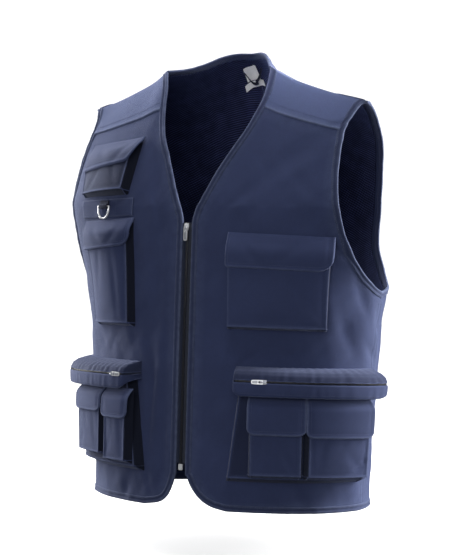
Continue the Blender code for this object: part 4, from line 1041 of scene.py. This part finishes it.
def pocket_face(name, pocket, start, edge, pleat, creases, under=None, pillow=0.0012, shade=0.0):
    """Bag of a pocket as a fine shell: folded gusset, piped edge and a softly filled front."""
    zip_top, zip_low, far_top, far_low, top, low = pocket[:6]
    middle = (zip_top + zip_low + far_top + far_low) / 4
    by_turn, _ = slopes(np.array(middle), np.array((top + low) / 2), True)
    width = abs(far_low - zip_low) * float(np.linalg.norm(by_turn))
    height = top - low

    def place(s, t):
        from_sides = np.minimum(s, 1 - s) * width
        from_low = t * height
        side_k = np.clip(from_sides / edge, 0.0, 1.0)
        low_k = np.clip(from_low / edge, 0.0, 1.0)
        # the gusset folds inwards half way up
        s_use = s + pleat * np.sin(np.pi * side_k) * np.where(s < 0.5, 1.0, -1.0) / width
        t_use = t + pleat * np.sin(np.pi * low_k) / height
        near = zip_low + (zip_top - zip_low) * t_use
        far = far_low + (far_top - far_low) * t_use
        turn = near + (far - near) * s_use
        level = low + height * t_use
        base = under(turn, level) if under else np.full(np.shape(turn), pocket[8])
        from_edge = np.minimum(from_sides, from_low)
        room = np.clip(from_edge / 0.030, 0.0, 1.0)
        full = swell(pocket, s, level, start) + base - pocket[8] + pillow * np.sin(room * math.pi / 2)
        past = from_edge - edge
        full = full + 0.0007 * hump(past, 0.0010, 0.0011) - 0.0004 * hump(past, 0.0042, 0.0012)
        full = full - creased(creases, s, t) * np.minimum(1, room * 3)
        wall = np.sin(np.minimum(side_k, low_k) * math.pi / 2) ** 0.8
        return lifted(turn, level, base + (np.maximum(full, base + 0.002) - base) * wall, True)

    s, t = np.meshgrid(wall_line(width, edge), wall_line(height, edge, both=False))
    past = np.minimum(np.minimum(s, 1 - s) * width, t * height) - edge
    # Paler piped edge: rubbed wear and painted highlight; shade darkens the face inside it as painted shade.
    wear_and_painted_light = hump(past, 0.0008, 0.0014) * 0.45 - shade * np.clip(past / 0.004, 0.0, 1.0)
    # The gusset below the piped edge is darkened as painted shade.
    wear_and_painted_light = np.where(past < -0.0002, -GUSSET_PAINTED_SHADE * np.clip(-past / edge * 3, 0, 1), wear_and_painted_light)
    place_on(shell(name + "_bag", place(s, t), BAG_THICK, cloth, wear_and_painted_light), "vest", "cloth", name)
    seam = edge + 0.0042
    seam_round(name, place, seam / width, seam / height, 0.93, 60, 60)


def flap_face(name, pocket, row, rise, creases, under=None, rub_and_painted_light=0.4, shade=0.0):
    """Flap: a turned, piped and twice-stitched piece that lies over its pocket."""
    zip_turn, far_turn, zip_top, zip_low, far_top, far_low, zip_round, far_round = row
    width = metres(zip_turn, far_turn, (zip_top + zip_low) / 2)
    length = (zip_top - zip_low + far_top - far_low) / 2

    def lower_lift(s):
        lift = np.zeros(np.shape(s))
        for away, size in ((s * width, zip_round), ((1 - s) * width, far_round)):
            lift = np.maximum(lift, size * quarter(np.clip(1 - away / size, 0.0, 1.0)))
        return lift

    def place(s, t):
        turn = zip_turn + (far_turn - zip_turn) * s
        top = zip_top + (far_top - zip_top) * s
        low = zip_low + (far_low - zip_low) * s + lower_lift(s)
        level = top + (low - top) * t
        sides = np.minimum(s, 1 - s) * width
        away = np.minimum(sides, (top - low) * (1 - t))
        height = swell(pocket, s, level, (zip_top, far_top)) + (under(turn, level) if under else 0.0)
        height = height + 0.0027 + rise * np.sin(np.pi * np.clip(t, 0, 1) * 0.5) ** 2
        height = height - 0.0016 * quarter(np.clip(1 - away / 0.0022, 0.0, 1.0))
        height = height + 0.0006 * hump(away, 0.0022, 0.0014) - 0.00035 * hump(away, 0.0050, 0.0012)
        droop = np.clip(1 - sides / 0.010, 0.0, 1.0) ** 1.5 * np.clip(t * 3, 0, 1)
        return lifted(turn, level, height - 0.0016 * droop - creased(creases, s, t), True)

    inner = FLAP_EDGE[-1]
    count = max(4, int((width - 2 * inner) / 0.0032))
    across = np.linspace(inner, width - inner, count + 1)[1:-1]
    down = np.linspace(0.0, length - inner, max(5, int((length - inner) / 0.0030)))[:-1]
    s_line = np.concatenate([FLAP_EDGE, across, width - FLAP_EDGE[::-1]]) / width
    t_line = np.concatenate([down, length - FLAP_EDGE[::-1]]) / length
    s, t = np.meshgrid(s_line, t_line)
    away = np.minimum(np.minimum(s, 1 - s) * width, (1 - t) * length)
    # Paler piped edge: rubbed wear and painted highlight; shade darkens the flap inside it as painted shade.
    wear_and_painted_light = hump(away, 0.0012, 0.0016) * rub_and_painted_light - shade * np.clip((away - 0.002) / 0.004, 0.0, 1.0)
    place_on(shell(name + "_cloth", place(s, t), FLAP_THICK, cloth, wear_and_painted_light), "vest", "cloth", name)
    for gap in (0.0020, 0.0062):
        seam_round(name, place, gap / width, 1 - gap / length, 0.06, 30, 90)
    seam_on(name, place, pairs(np.linspace(0.01, 0.99, 90), 0.0035 / length))


def bag_front(pocket):
    """Height of a lower pocket's front over the body."""
    def rise(turn, level):
        t = np.clip((level - pocket[5]) / (pocket[4] - pocket[5]), 0.0, 1.0)
        near = pocket[1] + (pocket[0] - pocket[1]) * t
        far = pocket[3] + (pocket[2] - pocket[3]) * t
        s = np.clip((turn - near) / (far - near), 0.0, 1.0)
        return swell(pocket, s, level, BAG_TOP) + SEAT
    return rise


def build_pockets():
    for name, row in FLAPS.items():
        # The shade values darken the pocket's face and its flap: painted shade.
        edge, pleat, shade, rise, flap_painted_shade = UPPER_LOOKS[name]
        bag = row[0]
        pocket = POCKETS[bag]
        pocket_face(bag, pocket, (row[3], row[5]), edge, pleat, POCKET_CREASES[bag], shade=shade)
        flap_face(name, pocket, row[1:], rise, FLAP_CREASES, shade=flap_painted_shade)
    for word in WORDS.values():
        name = "lower_pocket_" + word
        # The lower pockets' fronts, under their lids, are darkened as painted shade.
        pocket_face(
            name, POCKETS[name], BAG_TOP, 0.0060, 0.0030, LOWER_CREASES, pillow=0.0006, shade=0.45)
    for name, (lower, near, far, top, low, flap_low) in SMALL_POCKETS.items():
        under = bag_front(POCKETS[lower])
        start = top + 0.004
        row = (near, near, far, far, top, low, 0.0140, 0.0, SEAT, 0.016)
        creases = SMALL_CREASES
        if name == "outer_small_pocket_left":
            creases = creases + CORNER_CREASES
        pocket_face(name, row, (start, start), 0.0038, 0.0026, creases, under)
        lean = math.copysign(0.4, far)
        flap = (near - lean, far + lean, start, flap_low, start, flap_low, 0.0110, 0.0110)
        # Small flaps get strongly paler piped edges: rubbed wear and painted highlight.
        flap_face(name.replace("pocket", "flap"), row, flap, 0.0012, (), under, rub_and_painted_light=0.85)


# Lids of the lower pockets

LIDS = {1: (30.6, 88.4), -1: (-28.6, -88.4)}
LID_ZIP_LEVEL = -0.4334
LID_COIL_HEIGHT = 0.0331
LID_FOLD = 0.0075
LID_FOLD_STEPS = LID_FOLD * np.array([0.0, 0.04, 0.1, 0.2, 0.34, 0.5, 0.7, 0.85, 1.0])
# Level and height over the body, from the top of each part down
LID_PROFILE = (
    (-0.4160, SEAT), (-0.4178, 0.0120), (-0.4205, 0.0225), (-0.4250, 0.0300),
    (-0.4300, 0.0330), (-0.4318, 0.0336),
)
LID_TAPE = (
    (-0.4301, 0.0310), (-0.4320, 0.0322), (-0.4334, 0.0325), (-0.4348, 0.0326), (-0.4367, 0.0330),
)
LID_BAND = (
    (-0.4349, 0.0338), (-0.4366, 0.0348), (-0.4385, 0.0350), (-0.4440, 0.0352),
    (-0.4500, 0.0350), (-0.4530, 0.0342), (-0.4540, 0.0318),
)


def lid_part(name, side, rows, thick, material, node, pucker, corner=0.0, rub_and_painted_light=0.35, dull=0.0, seams=()):
    """One strip of a lid, with rounded ends that tuck in, and its rows of stitches."""
    near, far = LIDS[side]
    width = metres(near, far, rows[0][0]) * 1.05
    levels, heights = np.array(rows).T
    steps = np.linspace(0, 1, len(rows))

    def place(s, t):
        along = s * width * 2 * math.pi
        sides = np.minimum(s, 1 - s) * width
        part = np.clip(sides / LID_FOLD, 0.0, 1.0)
        shoulder = np.sqrt(np.maximum(1 - (1 - part) ** 2.4, 0.0))
        ripple = np.sin(along / 0.0135 + 2.0 * np.sin(s * 21.0)) * (0.6 + 0.4 * np.sin(s * 37.0))
        height = SEAT + (np.interp(t, steps, heights) - SEAT) * shoulder
        height = height + pucker * ripple * part * np.clip(t * 1.4, 0, 1)
        level = np.interp(t, steps, levels) + 0.35 * pucker * np.cos(along / 0.0117)
        if corner:
            lift = corner * 0.8 * quarter(np.clip(1 - sides / corner, 0.0, 1.0))
            level = level + np.minimum(lift, 0.014) * t
        tuck = 0.0030 * (1 - part) ** 2 * np.sin(np.pi * part)
        turn = near + (far - near) * (s + np.where(s < 0.5, 1.0, -1.0) / width * tuck)
        return lifted(turn, level, height, True)

    count = int((width - 2 * LID_FOLD) / 0.0024)
    middle = np.linspace(LID_FOLD, width - LID_FOLD, count + 1)[1:-1]
    s_line = np.concatenate([LID_FOLD_STEPS, middle, width - LID_FOLD_STEPS[::-1]]) / width
    s, t = np.meshgrid(s_line, np.linspace(0, 1, 3 * (len(rows) - 1) + 1))
    # The strip is darkened by dull: painted shade where its face turns up to the overhead lamp; the outer
    # rows are paler.
    wear_and_painted_light = np.full(s.shape, -dull)
    wear_and_painted_light[-2:] = rub_and_painted_light
    wear_and_painted_light[:1] = 0.3
    piece = shell(name, place(s, t), thick, material, wear_and_painted_light)
    place_on(piece, "vest", "cloth" if material is cloth else "zip", node)
    for end, share in seams:
        seam_on("lid_" + WORDS[side], place, pairs(np.linspace(end, 1 - end, 120), share))


def tooth(verts, faces, spot, a, b, c):
    """Small block with a narrower top, with half sizes a, b and c."""
    base = len(verts)
    for lift, scale in ((-1.0, 1.0), (0.4, 1.0), (1.0, 0.55)):
        for x, y in ((-1, -1), (1, -1), (1, 1), (-1, 1)):
            verts.append(spot + a * x * scale + b * y * scale + c * lift)
    for ring in range(2):
        for k in range(4):
            m = (k + 1) % 4
            lower = base + 4 * ring
            faces.append([lower + k, lower + m, lower + 4 + m, lower + 4 + k])
    faces.append([base + 3, base + 2, base + 1, base])
    faces.append([base + 8, base + 9, base + 10, base + 11])


def build_lid_coil(side, word):
    near, far = LIDS[side]
    verts, faces = [], []
    for k, turn in enumerate(np.linspace(near + 2.6 * side, far - 2.6 * side, 118)):
        across, up, out = frame_at(turn, LID_ZIP_LEVEL, False)
        spot = lifted(turn, LID_ZIP_LEVEL, LID_COIL_HEIGHT, True)
        tooth(verts, faces, spot, across * 0.00055, up * (0.0012 if k % 2 else 0.0010), out * 0.0008)
    piece = make_mesh("pocket_zip_coil_" + word, verts, faces, coil_plastic, smooth=False)
    place_on(piece, "vest", "zip")


def build_lids():
    for side, word in WORDS.items():
        # The lid's upper strip faces up to the overhead lamp; dull darkens it as painted shade.
        lid_part(
            "pocket_lid_" + word, side, LID_PROFILE, 0.0014, cloth, "lid_" + word, 0.0006,
            rub_and_painted_light=0.3, dull=0.45, seams=((0.04, 0.10), (0.04, 0.86)))
        lid_part(
            "pocket_zip_tape_" + word, side, LID_TAPE, 0.0010, tape_cloth, "lid_zip_" + word, 0.0001)
        lid_part(
            "pocket_lid_band_" + word, side, LID_BAND, 0.0014, cloth, "lid_band_" + word, 0.0004,
            corner=0.020, rub_and_painted_light=0.9, seams=((0.03, 0.16), (0.03, 0.66)))
        build_lid_coil(side, word)


# Main zip

# Turn and height of the tape, from the teeth outwards
TAPE_TURNS = np.array([0.75, 0.95, 1.4, 1.9, 2.4, 2.95])
TAPE_HEIGHTS = np.array([-0.0012, -0.0005, -0.0004, -0.0005, -0.0007, -0.0012])
TOOTH_PITCH = 0.00150
RETAINER = [
    (-0.0030, -0.0036), (-0.0024, -0.0042), (0.0024, -0.0042), (0.0030, -0.0036),
    (0.0030, 0.0036), (0.0024, 0.0042), (-0.0024, 0.0042), (-0.0030, 0.0036),
]


def both_sides(half):
    """Closed outline from its right half, listed from one end to the other."""
    left = [(-x, y) for x, y in half if x]
    return left[:1] + half + left[:0:-1]


def build_zip():
    for side, word in WORDS.items():
        turn, level = np.meshgrid(TAPE_TURNS * side, np.linspace(ZIP_END, ZIP_TOP, 140))
        ripple = 0.00010 * np.sin(level * 2 * math.pi / 0.0052) * (np.abs(turn) - 0.7)
        outer = lifted(turn, level, TAPE_HEIGHTS[None, :] + ripple)
        material = pale_tape if side > 0 else tape_cloth
        piece = shell("main_zip_tape_" + word, outer, 0.0008, material)
        place_on(piece, "vest", "zip", "zip_tape_" + word)
        verts, faces = [], []
        shift = TOOTH_PITCH / 2 if side > 0 else 0.0
        for level in np.arange(ZIP_END + 0.001, ZIP_TOP - 0.0005, TOOTH_PITCH) + shift:
            across, up, out = frame_at(0.34 * side, level)
            spot = lifted(0.36 * side, level, -0.0001, True)
            tooth(verts, faces, spot, across * 0.00115, up * 0.00052, out * 0.0009)
        piece = make_mesh("main_zip_coil_" + word, verts, faces, coil_plastic, smooth=False)
        place_on(piece, "vest", "zip", "zip_teeth_" + word)
        body_seam("zip", 2.35 * side, np.linspace(ZIP_END, ZIP_TOP, 160), -0.00045)
    low = ZIP_END - 0.0050
    axes = frame_at(0.0, low)
    spot = body(0.0, low, True) - axes[2] * 0.0004
    piece = plate("zip_retainer", RETAINER, None, 0.0028, spot, axes, retainer_plastic, 0.0005)
    place_on(piece, "vest", "steel", "zip_end_box")


def plate(name, outline, hole, thick, spot, axes, material, bevel):
    """Plate with an outline and perhaps one opening, its edges rounded by a bevel."""
    verts, faces = [], []
    count = len(outline)
    for height in (thick / 2, -thick / 2):
        for loop in [outline] + ([hole] if hole else []):
            verts += [spot + axes[0] * x + axes[1] * y + axes[2] * height for x, y in loop]
    low = 2 * count if hole else count
    for i in range(count):
        j = (i + 1) % count
        faces.append([j, i, low + i, low + j])
        if hole:
            faces.append([i, j, count + j, count + i])
            faces.append([low + j, low + i, low + count + i, low + count + j])
            faces.append([count + i, count + j, low + count + j, low + count + i])
    if not hole:
        faces += [list(range(count)), list(range(2 * count - 1, count - 1, -1))]
    piece = face_out(make_mesh(name, verts, faces, material))
    if bevel:
        soft = piece.modifiers.new("rounded", "BEVEL")
        soft.width = bevel
        soft.segments = 2
        soft.limit_method = "ANGLE"
        soft.angle_limit = math.radians(40)
        soft.harden_normals = False
    return piece


def rounded(points):
    """Closed outline with each corner replaced by a short curve."""
    out = []
    points = [np.array(p, float) for p in points]
    for i, here in enumerate(points):
        start = here + (points[i - 1] - here) * 0.3
        end = here + (points[(i + 1) % len(points)] - here) * 0.3
        for u in (0.0, 1 / 3, 2 / 3, 1.0):
            spot = (1 - u) ** 2 * start + 2 * u * (1 - u) * here + u**2 * end
            out.append((float(spot[0]), float(spot[1])))
    return out


# Right halves of a slider's outlines: plates and post in shares, the others in metres
SLIDER_HALF = [(0.32, -0.5), (0.47, 0.05), (0.46, 0.46), (0.14, 0.5), (0.0, 0.34)]
POST_HALF = [(0.12, 0.0), (0.12, 0.36)]
ARCH_HALF = [(0.0038, -0.0004), (0.0037, 0.0018), (0.0031, 0.0030), (0.0018, 0.0036)]
ARCH_HOLE_HALF = [(0.0027, 0.0004), (0.0026, 0.0016), (0.0021, 0.0022), (0.0013, 0.0026)]
PULL_HOLE_HALF = [(0.0016, -0.0006), (0.0016, -0.0038), (0.0013, -0.0049), (0.0006, -0.0053)]


def build_slider(prefix, spot, axes, width, length, pull_length, body_name, metal):
    """Slider: a waisted lower and upper plate joined at the front, an arch, and a shaped pull."""
    across, up, out = axes
    name = prefix + "_slider"
    shape = [(x * width, y * length) for x, y in rounded(both_sides(SLIDER_HALF))]
    top = plate(name + "_top", shape, None, 0.0009, spot + out * 0.00055, axes, metal, 0.0002)
    place_on(top, "vest", "steel", name)
    low = plate(name + "_base", shape, None, 0.0008, spot - out * 0.0007, axes, steel, 0.0002)
    place_on(low, "vest", "steel")
    shape = [(x * width, y * length) for x, y in rounded(both_sides(POST_HALF))]
    place_on(plate(name + "_post", shape, None, 0.0012, spot, axes, steel, 0.0), "vest", "steel")
    foot = spot + out * 0.0010
    turned = (up, out, across)
    arch, opening = both_sides(ARCH_HALF), both_sides(ARCH_HOLE_HALF)
    place_on(plate(name + "_arch", arch, opening, 0.0016, foot, turned, metal, 0.0002), "vest", "steel")
    pin = foot - up * 0.0010 + out * 0.0015
    pull_half = [(0.0030, 0.0006), (0.0030, -0.0050)]
    pull_half += [(0.0027, -pull_length + 0.0016), (0.0018, -pull_length)]
    pull, opening = both_sides(pull_half), both_sides(PULL_HOLE_HALF)
    piece = plate(prefix + "_pull_plate", pull, opening, 0.0010, pin, axes, steel, 0.00022)
    place_on(piece, body_name, "steel", prefix + "_pull")
    grip = rounded(both_sides([(0.0017, 0.0014 - pull_length), (0.0019, -0.0062)]))
    piece = plate(prefix + "_pull_grip", grip, None, 0.0016, pin, axes, dark_steel, 0.0003)
    place_on(piece, body_name, "steel")


def build_sliders():
    axes = frame_at(0.0, -0.2285)
    spot = body(0.0, -0.2285, True) + axes[2] * 0.0026
    build_slider("zip", spot, axes, 0.0070, 0.0110, 0.0180, "main_zip_pull", steel)
    for side, word in WORDS.items():
        turn = 44.5 if side > 0 else -35.5
        across, up, out = frame_at(turn, LID_ZIP_LEVEL)
        spot = body(turn, LID_ZIP_LEVEL, True) + out * 0.0350
        axes = (-up * side, across * side, out)
        pull = word + "_lid_zip_pull"
        build_slider("lid_zip_" + word, spot, axes, 0.0060, 0.0090, 0.0150, pull, dark_steel)


# Ring, its tape and loop

RING_TURN = -50.0
RING_LEVEL = -0.1990
RING_HALF_WIDTH = 0.0112
RING_DROP = 0.0170
RING_WIRE = 0.0013
RING_TAPE_SIZE = (0.078, 0.033)
RING_TAPE_ACROSS = [0, 0.006, 0.014, 0.022, *np.linspace(0.03, 0.97, 30), 0.978, 0.986, 0.994, 1]
RING_TAPE_DOWN = [0, 0.015, 0.03, 0.05, *np.linspace(0.08, 0.92, 12), 0.95, 0.97, 0.985, 1]
LOOP_OUTLINE = [
    (0.0085, 0.0), (0.0020, 0.0), (-0.0020, 0.0), (-0.0036, 0.0012), (-0.0036, 0.0034),
    (-0.0020, 0.0050), (0.0016, 0.0050), (0.0040, 0.0026), (0.0085, 0.0016),
]
LOOP_OPENING = [
    (0.0030, 0.0012), (0.0016, 0.0011), (-0.0014, 0.0011), (-0.0024, 0.0018), (-0.0024, 0.0030),
    (-0.0014, 0.0039), (0.0010, 0.0039), (0.0026, 0.0022), (0.0031, 0.0016),
]


def ring_tape_place(s, t):
    turn = -35.2 - 27.8 * s
    top = RING_LEVEL + 0.0190 - 0.0015 * s
    low = RING_LEVEL - 0.0140 - 0.0030 * s
    width, height = RING_TAPE_SIZE
    away = np.minimum(np.minimum(s, 1 - s) * width, np.minimum(t, 1 - t) * height)
    rise = SEAT + 0.0018 - 0.0010 * quarter(np.clip(1 - away / 0.0015, 0.0, 1.0))
    return lifted(turn, top + (low - top) * t, rise)


def build_ring_tape():
    s, t = np.meshgrid(RING_TAPE_ACROSS, RING_TAPE_DOWN)
    wear_and_painted_light = np.clip(1 - np.minimum(np.minimum(s, 1 - s) * 2.2, np.minimum(t, 1 - t)) * 18, 0, 1)
    piece = shell("ring_tape_cloth", ring_tape_place(s, t), 0.0015, cloth, wear_and_painted_light)
    place_on(piece, "vest", "cloth", "ring_tape")
    for share in (0.07, 0.93):
        seam_on("ring_tape", ring_tape_place, pairs(np.linspace(0.03, 0.97, 80), share))
    for share in (0.035, 0.33, 0.66, 0.965):
        seam_on("ring_tape", ring_tape_place, pairs(share, np.linspace(0.07, 0.93, 30)))


def build_ring():
    build_ring_tape()
    across, up, out = frame_at(RING_TURN, RING_LEVEL)
    spot = body(RING_TURN, RING_LEVEL, True) + out * (SEAT + 0.0019)
    turned = (up, out, across)
    piece = plate(
        "ring_loop_webbing", LOOP_OUTLINE, LOOP_OPENING, 0.0170, spot, turned, webbing, 0.0003)
    place_on(piece, "vest", "binding", "ring_loop")
    centre = spot + out * 0.0025
    path = [centre + across * x for x in np.linspace(-RING_HALF_WIDTH, RING_HALF_WIDTH, 14)]
    for a in np.linspace(0, math.pi, 29)[1:-1]:
        wide = math.copysign(abs(math.cos(a)) ** 0.75, math.cos(a))
        path.append(centre + across * RING_HALF_WIDTH * wide - up * math.sin(a) ** 0.9 * RING_DROP)
    path = np.array(path)
    along = unit(np.roll(path, -1, axis=0) - np.roll(path, 1, axis=0))
    aside = unit(np.cross(out, along))
    angles = np.linspace(0, 2 * math.pi, 13)[:-1]
    wire = aside[:, None] * np.cos(angles)[None, :, None] + out * np.sin(angles)[None, :, None]
    piece = rings_mesh("hanging_d_ring", path[:, None] + RING_WIRE * wire, True, steel)
    place_on(piece, "ring", "steel", "d_ring")


# Labels and hanging loop

BEHIND_LINING = -CLOTH - 0.0020 - 0.0008 - 0.0023
# Piece, node, turns from and to, top and bottom level, distance in from the lining
LABELS = (
    ("blank_label", "neck_label", 178.5, 189.5, -0.0730, -0.0900, 0.0018),
    ("blank_size_label", "size_label", 177.0, 192.5, -0.0915, -0.0985, 0.0010),
)


def build_labels():
    for name, node, turn_from, turn_to, top, bottom, extra in LABELS:
        s, t = np.meshgrid(np.linspace(turn_from, turn_to, 16), np.linspace(top, bottom, 12))
        wave = 0.0006 * np.sin((s - turn_from) * 0.8) * np.linspace(0, 1, 12)[:, None]
        height = BEHIND_LINING - extra + wave
        piece = slab(name, lifted(s, t, height), lifted(s, t, height - 0.0006), label_cloth)
        place_on(piece, "vest", "label", node)


def build_hanging_loop():
    rings = []
    for u in np.linspace(0, 1, 25):
        turn = 173.5 + 17.0 * u
        sag = math.sin(math.pi * u)
        level = -0.0740 - 0.018 * sag
        spot = lifted(turn, level, BEHIND_LINING - 0.0026 - 0.0080 * sag, True)
        _, up, out = frame_at(turn, level)
        ring = []
        for a in np.linspace(0, 2 * math.pi, 11)[:-1]:
            flat = math.copysign(abs(math.cos(a)) ** 0.5, math.cos(a))
            ring.append(spot + up * 0.0030 * flat + out * 0.0005 * math.sin(a))
        rings.append(ring)
    piece = rings_mesh("neck_hanging_loop", rings, False, webbing)
    place_on(piece, "vest", "binding", "hanging_loop")


# Floor, light and camera

FLOOR_LEVEL = -0.684
FLOOR_SIZE = 12.0
GLOW = {"From Min": 0.80, "From Max": 1.60, "To Min": 0.60, "To Max": 1.30}
# Input of the mixed sky, colour and strength: what lights the vest, then what the camera sees
SKY = ((1, (0.92, 0.95, 1.0), 0.12), (2, (1.0, 1.0, 1.0), 1.15))
VEST_MIDDLE = (0.0, BODY_Y, -0.30)
# Name, place, target, size, watts
LIGHTS = (
    ("overhead", (0.0, 0.05, 2.4), (0.0, 0.06, -0.3), (2.2, 2.2), 74.0),
    ("left_strip", (1.64, 1.21, 0.2), VEST_MIDDLE, (0.8, 2.0), 138.0),
    ("right_strip", (-1.97, 0.35, 0.2), VEST_MIDDLE, (0.8, 2.0), 82.0),
    ("front_fill", (0.7, -2.4, 0.1), VEST_MIDDLE, (1.6, 1.6), 26.0),
    ("neck_fill", (0.75, -1.4, 0.30), (0.06, 0.16, 0.0), (0.12, 0.12), 0.070),
)
NECK_SPREAD = 7.0
CAMERA_TURN = 28.0
CAMERA_ROLL = 1.5
CAMERA_DISTANCE = 2.30
CAMERA_SHIFT = 0.0029
SENSOR = 36.0
# Height of the picture at the vest, in metres
PICTURE_HEIGHT = 555 * 0.00145


def emitter(name, spot, target, size, power):
    light = bpy.data.lights.new(name, "AREA")
    light.shape = "RECTANGLE"
    light.size, light.size_y = size
    light.energy = power
    made = link(name, light)
    made.location = Vector(spot)
    made.rotation_euler = (Vector(target) - Vector(spot)).to_track_quat("-Z", "Y").to_euler()
    return made


def build_floor():
    s = Shade("floor_white", (0.6, 0.6, 0.6))
    away = s.add("VectorMath", operation="LENGTH")
    s.feed(away, {0: s.where})
    glow = s.add("MapRange", interpolation_type="SMOOTHSTEP")
    s.feed(glow, {"Value": away.outputs["Value"], **GLOW})
    made = s.finish({
        "Base Color": s.mix(s.noise(3.0, 3.0), (0.60, 0.60, 0.60), (0.64, 0.64, 0.64)),
        "Roughness": 1.0, "Specular IOR Level": 0.0, "Emission Color": (1.0, 1.0, 1.0, 1.0),
        "Emission Strength": glow.outputs[0],
    })
    mesh = bpy.data.meshes.new("floor")
    corners = ((-1, -1), (1, -1), (1, 1), (-1, 1))
    mesh.from_pydata([(x * FLOOR_SIZE, y * FLOOR_SIZE, FLOOR_LEVEL) for x, y in corners], [], [(0, 1, 2, 3)])
    mesh.materials.append(made)
    floor = link("floor", mesh)
    floor.visible_diffuse = False
    floor.visible_glossy = False


def build_sky():
    world = bpy.data.worlds.new("studio")
    bpy.context.scene.world = world
    world.use_nodes = True
    nodes, links = world.node_tree.nodes, world.node_tree.links
    nodes.clear()
    both = nodes.new("ShaderNodeMixShader")
    links.new(nodes.new("ShaderNodeLightPath").outputs["Is Camera Ray"], both.inputs[0])
    for slot, colour, strength in SKY:
        plain = nodes.new("ShaderNodeBackground")
        plain.inputs[0].default_value = (*colour, 1.0)
        plain.inputs[1].default_value = strength
        links.new(plain.outputs[0], both.inputs[slot])
    links.new(both.outputs[0], nodes.new("ShaderNodeOutputWorld").inputs[0])


def build_stage():
    build_floor()
    build_sky()
    made = [emitter(*row) for row in LIGHTS]
    # the last one is a narrow beam into the neck
    made[-1].data.spread = math.radians(NECK_SPREAD)
    bpy.context.scene.view_settings.view_transform = "Standard"
    bpy.context.scene.view_settings.look = "None"


def build_camera():
    turn = math.radians(CAMERA_TURN)
    right = Vector((math.cos(turn), math.sin(turn), 0.0))
    towards = Vector((math.sin(turn), -math.cos(turn), 0.0))
    axis = Vector((0.0, BODY_Y, -0.296))
    camera = bpy.data.cameras.new("camera")
    camera.sensor_fit = "VERTICAL"
    camera.sensor_height = SENSOR
    camera.lens = SENSOR * CAMERA_DISTANCE / PICTURE_HEIGHT
    made = link("camera", camera)
    roll = math.radians(CAMERA_ROLL)
    up = Vector((0.0, 0.0, 1.0))
    x_axis = right * math.cos(roll) + up * math.sin(roll)
    y_axis = up * math.cos(roll) - right * math.sin(roll)
    rotation = Matrix((x_axis, y_axis, towards)).transposed()
    spot = axis + towards * CAMERA_DISTANCE + right * CAMERA_SHIFT
    made.matrix_world = Matrix.Translation(spot) @ rotation.to_4x4()
    bpy.context.scene.camera = made


build_camera()
for front_side, front_word in WORDS.items():
    build_yoke(front_side, front_word, build_front(front_side, front_word))
build_back()
build_bindings()
build_pockets()
build_lids()
build_zip()
build_sliders()
build_ring()
build_labels()
build_hanging_loop()
make_stitches()
build_stage()

bpy.context.view_layer.update()
